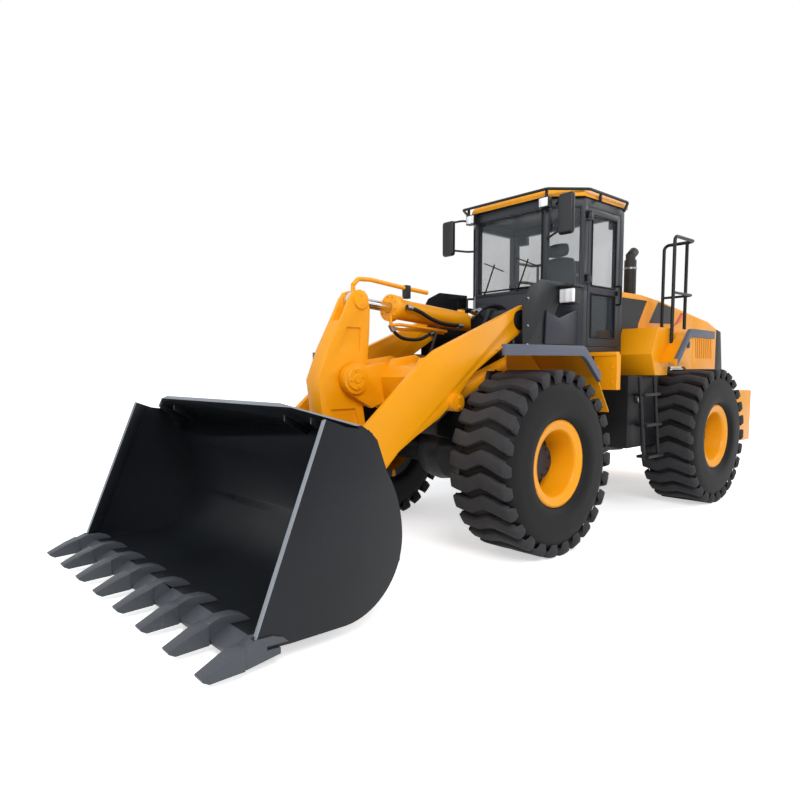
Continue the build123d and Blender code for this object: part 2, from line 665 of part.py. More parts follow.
def make_hood():
    side_line = [(hood_front_x, 1850), (hood_front_x, 2500), (-2650, 2500), (-3180, 2455), (-4600, 2270),
                 (hood_rear_x, 2180), (hood_rear_x, 1500), (-4150, 1500), (-3900, 1650), (-2700, 1650),
                 (-2500, 1850)]
    shell = plate(side_line, -hood_half, hood_half)
    hollow_line = [(hood_front_x + 1, 1600), (hood_front_x + 1, 2460), (-2650, 2460), (-3176, 2415), (-4596, 2232),
                   (hood_rear_x - 1, 2140), (hood_rear_x - 1, 1400), (-4150, 1400), (-2700, 1400)]
    hood = shell - plate(hollow_line, -hood_inner, hood_inner)
    # Cooling slots in both side walls, and the joints of the two side doors
    slot = plate([(-4270, 1760), (-4240, 1760), (-4200, 2080), (-4230, 2080)], hood_inner - 1, hood_half + 1)
    slots = [Pos(-index * louvre_pitch, 0, 0) * slot for index in range(louvre_count)]
    for cut in slots:
        hood -= both_sides(cut)
    for x in (-3150, -4120):
        hood -= both_sides(block(x - 6, x, hood_half - 12, hood_half + 1, 1650, 2300))
    return hood


save(make_hood(), "hood")

# Radiator guard at the tail, a framed grille with level bars between two uprights
guard_slope = 110.0 / 670.0
grille_pitch = 62.0


def guard_rear(z):
    return -5060 - (2150 - z) * guard_slope


guard = plate([(hood_rear_x - seat_gap, 1480), (hood_rear_x - seat_gap, 2180), (-5060, 2150), (-5170, 1480)],
              -hood_half, hood_half)
guard -= plate([(hood_rear_x + 1, 1540), (hood_rear_x + 1, 2110), (-5250, 2110), (-5250, 1540)],
               -hood_half + 60, hood_half - 60)
for y in (-230, 200):
    guard += plate([(guard_rear(2115) + 12, 2115), (guard_rear(2115) + 60, 2115), (guard_rear(1535) + 60, 1535),
                    (guard_rear(1535) + 12, 1535)], y, y + 30)
for index in range(9):
    z = 1565 + index * grille_pitch
    guard += block(guard_rear(z) + 20, guard_rear(z) + 52, -hood_half + 60, hood_half - 60, z, z + 16)
save(guard, "radiator_guard")


# Counterweight: a heavy casting across the tail with swept ends and a towing clevis

tow_pin_radius = 26.0
tow_x = rear_end_x + 60.0
tow_levels = (760.0, 880.0)
tow_lug = 30.0
tow_pin_length = 240.0
tow_pocket_top = tow_levels[1] + tow_lug + tow_pin_length + 30
weight_low = 640.0
weight_top = 1320.0
counter = slab([(-4500, -560), (-4500, -700), (-4400, -1080), (-4450, -1150), (-4950, -1150), (rear_end_x, -980),
                (rear_end_x, 980), (-4950, 1150), (-4450, 1150), (-4400, 1080), (-4500, 700), (-4500, 560),
                (frame_end_x - seat_gap, 400), (frame_end_x - seat_gap, -400)], weight_low, weight_top)
counter -= plate([(rear_end_x - 1, weight_low - 1), (rear_end_x - 1, weight_low + 90), (rear_end_x + 130, weight_low - 1)],
                 -1200, 1200)
counter -= plate([(rear_end_x - 1, weight_top + 1), (rear_end_x - 1, weight_top - 60), (rear_end_x + 60, weight_top + 1)],
                 -1200, 1200)
counter -= block(rear_end_x - 1, rear_end_x + 150, -120, 120, 700, tow_pocket_top)
for z in tow_levels:
    counter += block(rear_end_x + 20, rear_end_x + 150, -120, 120, z, z + tow_lug)
counter -= Pos(tow_x, 0, 835) * Cylinder(tow_pin_radius, 200)
for y in (560, -800):
    counter -= block(rear_end_x - 1, rear_end_x + 25, y, y + 240, 1130, 1220)
save(counter, "counterweight")


# Side decks and rear fenders

def make_side_deck():
    deck = plate([(-2090, 1784), (-2190, 1550), (tank_rear_x, 1550), (tank_rear_x - 20, 1700), (-2900, 1700),
                  (-2900, 1990),
                  (-3250, 1985), (-3250, deck_top), (-2230, deck_top)], hood_half + seat_gap, deck_half)
    # A cover under the cab's front corner hangs from a flange beneath the cab's floor
    cover = block(-1500, -1440, 645, 1050, 1757, cab_floor_z - cab_floor - seat_gap)
    cover += block(-1462, -1450, 790, 1050, 1405, 1757)
    cover += block(-1530, -1450, 1038, 1050, 1405, 1770)
    return deck + cover


save(both_sides(make_side_deck()), "side_decks")


def make_rear_fender():
    line = [(rear_axle_x + 1040, 1700), (rear_axle_x + 710, 2040), (rear_axle_x + 70, 2030)]
    inner = deck_half + seat_gap
    fender = fender_sheets(line, inner, [90])
    post_notch = block(-2550, -2482, deck_half, deck_half + 46, 1800, 2100)
    return fender - post_notch


save(both_sides(make_rear_fender()), "rear_fenders")


# Ladders and tanks between the axles

tank_top = 1550.0 - seat_gap


def make_ladder():
    parts = [rod_between((-1800, 1120, 1540), (-1950, 1120, 640), 20)]
    parts += [rod_between((-2130, 1120, 1540), (-2280, 1120, 640), 20)]
    for z in (650, 1000, 1330):
        x = -1800 - 150 * (1540 - z) / 900
        parts.append(block(x - 340, x + 10, 1040, 1180, z, z + 30))
        if z > 800:
            parts.append(block(x - 300, x - 240, tank_outer - 5, 1050, z, z + 30))
    return parts[0] + parts[1:]


tanks = both_sides(block(tank_rear_x, -1790, tank_inner + seat_gap, tank_outer, 760, tank_top))
save(tanks + both_sides(make_ladder()), "side_steps")


# Guard rails along the rear decks

def make_guard_rail():
    rail_y = deck_half + 22
    top = 3100.0
    middle = 2478.0
    rail = tube([(-2516, rail_y, 1850), (-2516, rail_y, top), (-3020, rail_y, top), (-3020, 770, top),
                 (-3020, 770, deck_top + seat_gap)], 19, 60)
    rail += tube([(-2516, rail_y, middle), (-3020, rail_y, middle), (-3020, 770, middle)], 15, 60)
    rail += rod_between((-3020, 1040, deck_top + seat_gap), (-3020, 1040, top), 19)
    rail += block(-2540, -2492, deck_half + seat_gap, rail_y, 1850, 1900)
    return rail


save(both_sides(make_guard_rail()), "guard_rails")


# Cab: floor and lower panels, pillars, roof, panes, door, seat

def cab_outline(inset):
    nose = cab_nose_half - inset * math.tan(math.radians(22.5))
    corner = cab_front_x - cab_nose_depth - inset * math.tan(math.radians(22.5))
    return [(cab_front_x - inset, -nose), (cab_front_x - inset, nose), (corner, cab_half - inset),
            (cab_rear_x + inset, cab_half - inset), (cab_rear_x + inset, inset - cab_half), (corner, inset - cab_half)]


door_front_x = -1350.0
door_rear_x = -1990.0
door_low = cab_floor_z + 10
door_high = cab_top_z - 84.0
door_hinges = (2560.0, cab_top_z - 184.0)
hinge_line = (door_front_x + 25, cab_half + 28)
window_low = cab_sill_z + 40
window_high = cab_top_z - 94.0
pane = 8.0


def wall_slab(a, b, margin, z0, z1, depth, thickness):
    """A slab along the wall from plan point a to b, set in by a margin at each end."""
    direction = Vector(b[0] - a[0], b[1] - a[1], 0)
    length = direction.length - 2 * margin
    inward = direction.normalized().rotate(Axis.Z, 90)
    middle = Vector((a[0] + b[0]) / 2, (a[1] + b[1]) / 2, (z0 + z1) / 2) + inward * depth
    return Plane(origin=middle, x_dir=direction, z_dir=(0, 0, 1)) * Box(length, thickness, z1 - z0)


corners = cab_outline(0)
windows = [
    (corners[0], corners[1], 45, window_low, window_high),
    (corners[1], corners[2], 40, window_low, window_high),
    (corners[5], corners[0], 40, window_low, window_high),
    (corners[3], corners[4], 90, window_low + 60, window_high),
    ((door_rear_x, -cab_half), (door_front_x, -cab_half), 0, window_low, window_high),
]

shell = slab(cab_outline(0), cab_floor_z, cab_top_z) - slab(cab_outline(cab_wall), cab_floor_z - 1, cab_top_z + 1)
for a, b, margin, z0, z1 in windows:
    shell -= wall_slab(a, b, margin, z0, z1, cab_wall / 2, cab_wall + 40)
shell -= block(door_rear_x, door_front_x, cab_half - cab_wall - 20, cab_half + 20, door_low, door_high)
lower = shell & block(cab_rear_x - 10, cab_front_x + 10, -cab_half - 10, cab_half + 10, cab_floor_z, cab_sill_z)
upper = shell & block(cab_rear_x - 10, cab_front_x + 10, -cab_half - 10, cab_half + 10, cab_sill_z, cab_top_z)
save(lower + slab(cab_outline(0), cab_floor_z - cab_floor, cab_floor_z), "cab_base")
for z in door_hinges:
    for z0 in (z - 52, z + 32):
        upper += block(hinge_line[0], hinge_line[0] + 45, cab_half, hinge_line[1] + 15, z0, z0 + 20)
        upper += Pos(hinge_line[0], hinge_line[1], z0 + 10) * Cylinder(22, 20)
    upper += Pos(hinge_line[0], hinge_line[1], z) * Cylinder(10, 100)
save(upper, "cab_frame")

# The roof cap overhangs the walls a little and has bevelled upper edges
roof_rim = 38.0
roof_cap = 47.0
roof_half = cab_half + 18.0
roof_front = cab_front_x + 45.0
roof_line = [(roof_front, -485), (roof_front, 485), (roof_front - cab_nose_depth, roof_half),
             (cab_rear_x - 45, roof_half), (cab_rear_x - 45, -roof_half), (roof_front - cab_nose_depth, -roof_half)]
roof = slab(roof_line, cab_top_z, cab_top_z + roof_rim)
roof_face = Plane.XY.offset(cab_top_z + roof_rim) * make_face(Polyline(*roof_line, close=True))
save(roof + extrude(roof_face, amount=roof_cap, taper=35), "cab_roof")

glass = [wall_slab(a, b, margin + seat_gap, z0 + seat_gap, z1 - seat_gap, cab_wall / 2, pane)
         for a, b, margin, z0, z1 in windows]
save(glass[0] + glass[1:], "cab_glass")

door_gap = 5.0
door = block(door_rear_x + door_gap, door_front_x - door_gap, cab_half - 45, cab_half, door_low + door_gap,
             door_high - door_gap)
door_windows = [(door_rear_x + 75, door_front_x - 75, 2500, door_high - 70), (door_rear_x + 75, door_front_x - 75, 1960, 2420)]
panes = []
for x0, x1, z0, z1 in door_windows:
    door -= block(x0, x1, cab_half - 60, cab_half + 10, z0, z1)
    panes.append(block(x0 + seat_gap, x1 - seat_gap, cab_half - 26, cab_half - 18, z0 + seat_gap, z1 - seat_gap))
for z in door_hinges:
    knuckle = Pos(hinge_line[0], hinge_line[1], z) * Cylinder(22, 60)
    knuckle += block(hinge_line[0] - 75, hinge_line[0], cab_half + 5, hinge_line[1], z - 30, z + 30)
    knuckle += block(hinge_line[0] - 75, hinge_line[0] - 35, cab_half - 5, cab_half + 6, z - 30, z + 30)
    door += knuckle - Pos(hinge_line[0], hinge_line[1], z) * Cylinder(10 + pin_gap, 80)
save(door, "door_frame")
save(panes[0] + panes[1:], "door_glass")

seat = block(-1950, -1450, -250, 250, 2250, 2370) + block(-2010, -1890, -240, 240, 2370, 2950)
seat += block(-1850, -1550, -150, 150, cab_floor_z + seat_gap, 2250)
wheel_plane = Plane(origin=(-1340, 0, 2530), z_dir=(-0.3, 0, 1))
column = rod_between((-1160, 0, cab_floor_z + 30), (-1340, 0, 2530), 45)
column += block(-1230, -1090, -90, 90, cab_floor_z + seat_gap, cab_floor_z + 60)
column += wheel_plane * Torus(190, 16) + wheel_plane * Box(40, 380, 18)
seat += block(-1880, -1500, 262, 330, 2470, 2500) + block(-1880, -1840, 262, 310, 2300, 2470)
seat += block(-1900, -1830, 249, 312, 2290, 2330) + block(-1990, -1900, -140, 140, 2950, 3110)
save(seat + column, "driver_station")


# Mirrors, lamps, exhaust

def make_mirror():
    head = block(-905, -855, 700, 870, cab_top_z - 434, cab_top_z - 34)
    head += rod_between((-1009.5, 486.5, cab_top_z - 404), (-885, 711, cab_top_z - 404), 14)
    return head + rod_between((-1074, 546, cab_top_z - 60), (-885, 711, cab_top_z - 60), 14)


save(both_sides(make_mirror()), "mirrors")
lamp_top = cab_top_z - 9
lamps = block(-985, -915, 430, 550, lamp_top - 105, lamp_top)
lamps += block(cab_front_x + seat_gap, -985, 425, 465, lamp_top - 75, lamp_top - 25)
lamps += block(cab_rear_x - 60, cab_rear_x - seat_gap, 560, 680, lamp_top - 175, lamp_top - 75)
save(both_sides(lamps), "work_lamps")

stack = rod_between((-3200, 250, 2460.3), (-3200, 250, 3020), 75)
stack += rod_between((-3200, 250, 3000), (-3200, 250, 3100), 60)
stack += rod_between((-3196, 250, 3070), (-3290, 250, 3140), 60)
cleaner = rod_between((-2800, -300, 2493.8), (-2800, -300, 2900), 70)
cleaner += rod_between((-2800, -300, 2900), (-2800, -300, 3020), 130)
save(stack + cleaner, "exhaust")
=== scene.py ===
import json
import math

import bmesh
import bpy
from mathutils import Matrix, Vector


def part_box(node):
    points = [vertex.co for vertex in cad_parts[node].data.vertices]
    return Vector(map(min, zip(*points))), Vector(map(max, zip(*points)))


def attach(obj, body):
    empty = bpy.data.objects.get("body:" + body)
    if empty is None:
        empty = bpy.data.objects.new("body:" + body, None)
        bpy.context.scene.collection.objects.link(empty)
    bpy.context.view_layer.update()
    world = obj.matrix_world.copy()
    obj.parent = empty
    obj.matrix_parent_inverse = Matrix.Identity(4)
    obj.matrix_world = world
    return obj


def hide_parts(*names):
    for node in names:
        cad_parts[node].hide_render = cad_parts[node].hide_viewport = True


# An articulated wheel loader: a Z-bar loading gear with a toothed bucket, a cab over the
# steering hinge, and an engine hood at the back. Metres, +X forward, +Y to its left, +Z up.
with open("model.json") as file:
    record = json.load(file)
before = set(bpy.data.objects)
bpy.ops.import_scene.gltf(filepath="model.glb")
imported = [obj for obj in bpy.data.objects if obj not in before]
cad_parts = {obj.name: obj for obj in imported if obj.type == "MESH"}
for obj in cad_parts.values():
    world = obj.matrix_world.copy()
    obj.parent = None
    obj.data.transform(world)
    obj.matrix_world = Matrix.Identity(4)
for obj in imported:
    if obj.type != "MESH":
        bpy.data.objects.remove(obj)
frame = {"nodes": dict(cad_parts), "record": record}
nodes = frame["nodes"]
bodies = frame["record"]["behaviour"]["bodies"]
body_of = {node: body for body, members in bodies.items() for node in members}
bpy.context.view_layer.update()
hands = (("left", 1), ("right", -1))

# The camera stands ahead of the left front tyre, at the height of the fender, and looks back
# at the machine. Its frame is 800 x 800, and its place was solved against the tyres.
image_width = 800
focal_pixels = 627.73
principal_point = (379.83, 425.93)
camera_place = Vector((5.58256, 4.35838, 1.61154))
camera_yaw = -2.2858
camera_pitch = -0.0869
camera_roll = -0.0055
forward = Vector((math.cos(camera_pitch) * math.cos(camera_yaw),
                  math.cos(camera_pitch) * math.sin(camera_yaw), math.sin(camera_pitch)))
level_right = Vector((math.sin(camera_yaw), -math.cos(camera_yaw), 0))
level_up = level_right.cross(forward)
right = math.cos(camera_roll) * level_right + math.sin(camera_roll) * level_up
up = math.cos(camera_roll) * level_up - math.sin(camera_roll) * level_right
lens = bpy.data.cameras.new("camera")
lens.sensor_fit = "HORIZONTAL"
lens.sensor_width = 36.0
lens.lens = focal_pixels / image_width * lens.sensor_width
lens.shift_x = (image_width / 2 - principal_point[0]) / image_width
lens.shift_y = (principal_point[1] - image_width / 2) / image_width
lens.clip_end = 200.0
camera = bpy.data.objects.new("camera", lens)
camera.matrix_world = Matrix.Translation(camera_place) @ Matrix((right, up, -forward)).transposed().to_4x4()
scene = bpy.context.scene
scene.collection.objects.link(camera)
scene.camera = camera

# The studio is a white floor in a white world under three broad soft lamps. The white shows
# to the camera, in gloss and through glass only, so it adds no light to the machine.
white = (1, 1, 1, 1)
room_strength = 0.48
floor_half = 60.0
shadow_reach = (3.0, 9.0)
near_glow = 0.55
lamp_target = Vector((0, 0, 1.2))
scene.view_settings.view_transform = "Standard"


def linear(hex_colour):
    """An sRGB hex value as a linear RGBA colour."""
    channels = [int(hex_colour[i:i + 2], 16) / 255 for i in (1, 3, 5)]
    return [c / 12.92 if c <= 0.04045 else ((c + 0.055) / 1.055) ** 2.4 for c in channels] + [1.0]


def wire(tree, node, inputs=None, links=None):
    """Sets a node's input values and links sockets into its inputs."""
    for name, value in (inputs or {}).items():
        node.inputs[name].default_value = value
    for name, socket in (links or {}).items():
        tree.links.new(socket, node.inputs[name])


def add(tree, kind, settings=None, inputs=None, links=None):
    """Adds a node, sets its properties and input values, and links sockets into its inputs."""
    node = tree.nodes.new(kind)
    for name, value in (settings or {}).items():
        setattr(node, name, value)
    wire(tree, node, inputs, links)
    return node


def worked(tree, operation, *terms):
    """The result of a sum. Each term is a socket or a number."""
    node = add(tree, "ShaderNodeMath", {"operation": operation})
    for index, term in enumerate(terms):
        if isinstance(term, bpy.types.NodeSocket):
            tree.links.new(term, node.inputs[index])
        else:
            node.inputs[index].default_value = term
    return node.outputs[0]


def ranged(tree, value, low, high, start=0.0, end=1.0):
    """Spreads a value that runs from start to end over low to high."""
    return add(tree, "ShaderNodeMapRange",
               inputs={"From Min": start, "From Max": end, "To Min": low, "To Max": high},
               links={"Value": value}).outputs["Result"]


def seen_rays(tree):
    """One for rays that come from the camera or out of gloss or glass, else nought."""
    rays = add(tree, "ShaderNodeLightPath").outputs
    eye = worked(tree, "MAXIMUM", rays["Is Camera Ray"], rays["Is Glossy Ray"])
    return worked(tree, "MAXIMUM", eye, rays["Is Transmission Ray"])


world = bpy.data.worlds.new("studio")
scene.world = world
world.use_nodes = True
tree = world.node_tree
tree.nodes.clear()
room_light = add(tree, "ShaderNodeBackground",
                 inputs={"Color": linear("#f2f5fb"), "Strength": room_strength}).outputs[0]
room_white = add(tree, "ShaderNodeBackground", inputs={"Color": white, "Strength": 1.0}).outputs[0]
room = add(tree, "ShaderNodeMixShader", links={0: seen_rays(tree), 1: room_light, 2: room_white}).outputs[0]
add(tree, "ShaderNodeOutputWorld", links={"Surface": room})

floor_mesh = bpy.data.meshes.new("floor")
corners = [(floor_half * x, floor_half * y, 0) for x, y in ((-1, -1), (1, -1), (1, 1), (-1, 1))]
floor_mesh.from_pydata(corners, [], [(0, 1, 2, 3)])
floor_paint = bpy.data.materials.new("matt_white_floor")
floor_paint.use_nodes = True
tree = floor_paint.node_tree
tree.nodes.clear()
matt = add(tree, "ShaderNodeBsdfDiffuse", inputs={"Color": linear("#f4f4f4")}).outputs[0]
# Round the machine the floor keeps its shadow, and further out it glows to an even white
away = add(tree, "ShaderNodeVectorMath", {"operation": "LENGTH"},
           links={0: add(tree, "ShaderNodeTexCoord").outputs["Object"]}).outputs["Value"]
glow = ranged(tree, away, near_glow, 1.0, *shadow_reach)
glowing = add(tree, "ShaderNodeEmission", inputs={"Color": white},
              links={"Strength": worked(tree, "MULTIPLY", glow, seen_rays(tree))}).outputs[0]
both = add(tree, "ShaderNodeAddShader", links={0: matt, 1: glowing}).outputs[0]
add(tree, "ShaderNodeOutputMaterial", links={"Surface": both})
floor_mesh.materials.append(floor_paint)
floor = bpy.data.objects.new("floor", floor_mesh)
scene.collection.objects.link(floor)

for name, place, size, power in (("key_lamp", (7.0, 9.0, 9.0), 6.0, 1100.0),
                                 ("fill_lamp", (12.0, -3.0, 6.0), 8.0, 400.0),
                                 ("back_lamp", (-9.0, 5.0, 9.0), 7.0, 450.0)):
    lamp = bpy.data.lights.new(name, "AREA")
    lamp.energy = power
    lamp.size = size
    lamp_object = bpy.data.objects.new(name, lamp)
    aim = (lamp_target - Vector(place)).to_track_quat("-Z", "Y").to_matrix().to_4x4()
    lamp_object.matrix_world = Matrix.Translation(place) @ aim
    scene.collection.objects.link(lamp_object)

# The rear frame is two long rails of thick plate with cross plates and forked hinge lugs. It
# is flame-cut and welded, its edges ground, and sprayed with satin black chassis enamel.


def inside(material):
    """A material's node tree, its surface, and the piece's own coordinates in metres."""
    tree = material.node_tree
    return tree, tree.nodes["Principled BSDF"], add(tree, "ShaderNodeTexCoord").outputs["Object"]


def new_material(name):
    """A new material and what is inside it."""
    material = bpy.data.materials.new(name)
    material.use_nodes = True
    return material, *inside(material)


def noise(tree, place, scale, detail, roughness=0.5):
    """Soft noise with about scale patches to the metre."""
    return add(tree, "ShaderNodeTexNoise",
               inputs={"Scale": scale, "Detail": detail, "Roughness": roughness},
               links={"Vector": place}).outputs["Fac"]


def shaded(tree, share, low, high, start=0.0, end=1.0):
    """A colour that goes from low to high as share goes from start to end."""
    ramp = add(tree, "ShaderNodeValToRGB", links={"Fac": share})
    for element, position, colour in zip(ramp.color_ramp.elements, (start, end), (low, high)):
        element.position = position
        element.color = colour
    return ramp.outputs["Color"]


def bump(tree, height, distance, strength=1.0):
    """A surface normal that rises and falls with a height."""
    return add(tree, "ShaderNodeBump", inputs={"Strength": strength, "Distance": distance},
               links={"Height": height}).outputs["Normal"]


def enamel(name, hex_colour, roughness, gloss_coat, drift, patch_mm=900.0, ripple_mm=0.06):
    """Sprayed machine enamel: its tone drifts over a panel, and its film has a faint ripple."""
    material, tree, surface, place = new_material(name)
    tone = noise(tree, place, 1000.0 / patch_mm, 5.0, 0.55)
    colour = linear(hex_colour)
    darker = [c * (1 - drift) for c in colour[:3]] + [1]
    paler = [min(1.0, c * (1 + drift)) for c in colour[:3]] + [1]
    # Orange peel is under a millimetre wide, so it is drawn at 9 mm to show at this distance
    peel = noise(tree, place, 1000.0 / 9.0, 2.0)
    wire(tree, surface, {"Specular IOR Level": 0.3, "Coat Weight": gloss_coat, "Coat Roughness": 0.12},
         {"Base Color": shaded(tree, tone, darker, paler, 0.32, 0.68),
          "Roughness": ranged(tree, tone, roughness - 0.05, roughness + 0.07),
          "Normal": bump(tree, peel, ripple_mm / 1000)})
    return material


def set_out(name, mesh, body, sharp=32.0, stands_for=()):
    """Puts a finished mesh in the scene on its body, shaded smooth up to its sharp edges."""
    mesh.polygons.foreach_set("use_smooth", [True] * len(mesh.polygons))
    mesh.set_sharp_from_angle(angle=math.radians(sharp))
    piece = bpy.data.objects.new(name, mesh)
    scene.collection.objects.link(piece)
    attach(piece, body)
    if stands_for:
        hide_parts(*stands_for)
    return piece


def evaluated(blank):
    """The mesh that a curve or an object's modifiers give. The object itself is taken away."""
    scene.collection.objects.link(blank)
    depsgraph = bpy.context.evaluated_depsgraph_get()
    mesh = bpy.data.meshes.new_from_object(blank.evaluated_get(depsgraph))
    bpy.data.objects.remove(blank)
    return mesh


def bevelled(mesh, width_mm, sharp, segments=2):
    """The mesh with every sharp edge rounded over."""
    blank = bpy.data.objects.new("blank", mesh)
    bevel = blank.modifiers.new("edges", "BEVEL")
    bevel.width = width_mm / 1000
    bevel.segments = segments
    bevel.limit_method = "ANGLE"
    bevel.angle_limit = math.radians(sharp)
    return evaluated(blank)


def mesh_of(work, name, turn_faces=True):
    """The mesh that was drawn in work, as a rule with its faces turned outward."""
    if turn_faces:
        bmesh.ops.recalc_face_normals(work, faces=work.faces)
    mesh = bpy.data.meshes.new(name)
    work.to_mesh(mesh)
    work.free()
    return mesh


def painted(mesh, material):
    """The mesh with one material all over."""
    mesh.materials.clear()
    mesh.materials.append(material)
    mesh.polygons.foreach_set("material_index", [0] * len(mesh.polygons))
    return mesh


def built(node, left_out=None):
    """The built piece, welded and with plain flat faces, less the faces whose middle is left out."""
    work = bmesh.new()
    work.from_mesh(nodes[node].data)
    bmesh.ops.remove_doubles(work, verts=work.verts, dist=0.00002)
    if left_out:
        unwanted = [face for face in work.faces if left_out(face.calc_center_median())]
        bmesh.ops.delete(work, geom=unwanted, context="FACES")
    bmesh.ops.dissolve_limit(work, angle_limit=math.radians(0.5), verts=work.verts, edges=work.edges)
    return mesh_of(work, node, turn_faces=False)


def finish_node(node, material, edge_mm=3.0, others=()):
    """The built piece with broken edges. others holds (material, test of a face's middle and normal)."""
    mesh = painted(built(node), material)
    for index, (other, belongs) in enumerate(others):
        mesh.materials.append(other)
        for face in mesh.polygons:
            if belongs(face.center, face.normal):
                face.material_index = index + 1
    if edge_mm:
        mesh = bevelled(mesh, edge_mm, 32.0)
    return set_out("dressed_" + node, mesh, body_of[node], 32.0, (node,))


chassis_black = enamel("satin_chassis_enamel", "#131416", 0.46, 0.0, 0.18)
finish_node("rear_frame", chassis_black, 4.0)

# The engine and its gearbox stand in the frame as one dark cast-iron mass under the hood.
engine_iron = enamel("dull_cast_iron", "#3a3c3e", 0.62, 0.0, 0.25, patch_mm=120.0, ripple_mm=0.4)
finish_node("engine_block", engine_iron, 12.0)

# The axles are banjo castings: a round differential housing with tapered arms that end in the
# wheel brakes. Cast steel, sprayed black with the chassis.
for node in ("front_axle", "rear_axle"):
    finish_node(node, chassis_black, 4.0)

# The tyres are 23.5-25 loader tyres: a carcass of vulcanised rubber with a bulged sidewall, and
# 26 wavy lugs that wrap over both shoulders. Their tops are scuffed grey, their flanks black.
lug_count = 26
tyre_radius = 0.8085
tyre_half = 0.2985
groove_depth = 0.042
belly_radius = 0.538
bead_radius = 0.3173
guard_rib = 0.004
wheel_steps = 104
shoulder_start = tyre_half - 0.020


def moulded_rubber(name, hex_colour, roughness, dust_colour, dust):
    """Vulcanised rubber: matt, with a fine mould grain and dust in soft patches."""
    material, tree, surface, place = new_material(name)
    share = ranged(tree, noise(tree, place, 7.0, 8.0, 0.7), 0.0, dust, 0.35, 0.75)
    dusty = add(tree, "ShaderNodeMix", {"data_type": "RGBA"},
                {"A": linear(hex_colour), "B": linear(dust_colour)}, {"Factor": share}).outputs["Result"]
    # Mould grain of about a millimetre is drawn at 6 mm, the finest that shows
    grain = noise(tree, place, 1000.0 / 6.0, 4.0)
    wire(tree, surface, {"Roughness": roughness, "Specular IOR Level": 0.16},
         {"Base Color": dusty, "Normal": bump(tree, grain, 0.0012, 0.6)})
    return material


def bridge(work, here, there):
    """Four-sided faces between two closed loops."""
    for k in range(len(here)):
        after = (k + 1) % len(here)
        work.faces.new((here[k], here[after], there[after], there[k]))


def carcass_mesh():
    """The tyre's body as a ring about the wheel's axis, from bead over the crown to bead."""
    crown = tyre_radius - groove_depth
    outer = []
    for step in range(19):
        angle = math.radians(-36 + 126 * step / 18)
        reach = math.copysign(abs(math.sin(angle)) ** 0.66, angle)
        bulge = tyre_half * abs(math.cos(angle)) ** 0.45
        outer.append((belly_radius + (crown - belly_radius) * reach, bulge))
    # A low rib runs round each sidewall above the rim, to guard it against stones
    outer = [(r, y + (guard_rib if 0.455 < r < 0.50 else 0.0)) for r, y in outer]
    lower = [(bead_radius, 0.2232), (0.372, 0.2232), (0.3835, 0.243), (0.396, 0.254)]
    side = lower + [point for point in outer if point[0] > 0.40]
    section = [(r, -y) for r, y in side] + [(r, y) for r, y in side[::-1] if y > 0.001]
    work = bmesh.new()
    rings = []
    for step in range(wheel_steps):
        angle = 2 * math.pi * step / wheel_steps
        rings.append([work.verts.new((r * math.sin(angle), y, r * math.cos(angle))) for r, y in section])
    for step in range(wheel_steps):
        bridge(work, rings[step], rings[(step + 1) % wheel_steps])
    return mesh_of(work, "carcass")


def lug_mesh(outward):
    """One lug at the top of the wheel, a wavy bar from shoulder to shoulder. outward is +1 or -1."""
    wave = ((0.0, -0.012), (0.12, 0.008), (0.28, 0.022), (0.42, -0.012), (0.56, -0.045), (0.74, -0.018),
            (0.90, 0.018), (1.0, 0.036))
    # A station is a distance across, the wave's offset, the top's radius, and half widths of top and foot
    middle = [((share * 2 - 1) * (tyre_half - 0.026), offset, tyre_radius - 0.001, 0.056, 0.068)
              for share, offset in wave]
    shoulder = [(tyre_half - 0.010, tyre_radius - 0.017, 0.054, 0.064),
                (tyre_half - 0.002, tyre_radius - 0.046, 0.048, 0.060),
                (tyre_half - 0.001, tyre_radius - 0.085, 0.030, 0.046)]
    inner = [(-y, wave[0][1] + 0.006 * (k + 1), r, top, foot) for k, (y, r, top, foot) in enumerate(shoulder)]
    outer = [(y, wave[-1][1] + 0.010 * (k + 1), r, top, foot) for k, (y, r, top, foot) in enumerate(shoulder)]
    work = bmesh.new()
    rows = []
    for y, offset, top_radius, top, foot in inner[::-1] + middle + outer:
        root, root_y = top_radius - 0.050, y
        if abs(y) >= shoulder_start:
            root, root_y = top_radius - 0.030, y * (1 - 0.07)
        section = [(-foot, root, root_y), (-top, top_radius, y), (0.0, top_radius + 0.001, y),
                   (top, top_radius, y), (foot, root, root_y)]
        row = []
        for along, radius, across in section:
            angle = (offset + along) / tyre_radius
            row.append(work.verts.new((radius * math.sin(angle), across * outward, radius * math.cos(angle))))
        rows.append(row)
    for here, there in zip(rows, rows[1:]):
        for k in range(4):
            work.faces.new((here[k], there[k], there[k + 1], here[k + 1]))
        work.faces.new((here[4], there[4], there[0], here[0]))
    work.faces.new(rows[0])
    work.faces.new(rows[-1][::-1])
    return bevelled(mesh_of(work, "lug"), 5.0, 35.0, 1)


def copier(name, inputs):
    """A Geometry Nodes tree with named inputs, as the tree, its input sockets and their values."""
    tree = bpy.data.node_groups.new(name, "GeometryNodeTree")
    tree.interface.new_socket("Geometry", in_out="OUTPUT", socket_type="NodeSocketGeometry")
    sockets = {}
    for label, kind in inputs:
        socket_type = "NodeSocket" + kind
        sockets[label] = tree.interface.new_socket(label, in_out="INPUT", socket_type=socket_type)
    return tree, sockets, add(tree, "NodeGroupInput").outputs


def set_copies(tree, given, points, turn):
    """Puts a turned copy of the unit on every point, in its finish, and gives them out."""
    copies = add(tree, "GeometryNodeInstanceOnPoints",
                 links={"Points": points, "Instance": given["Unit"], "Rotation": turn}).outputs[0]
    solid = add(tree, "GeometryNodeRealizeInstances", links={"Geometry": copies}).outputs[0]
    coated = add(tree, "GeometryNodeSetMaterial",
                 links={"Geometry": solid, "Material": given["Finish"]}).outputs[0]
    add(tree, "NodeGroupOutput", links={"Geometry": coated})


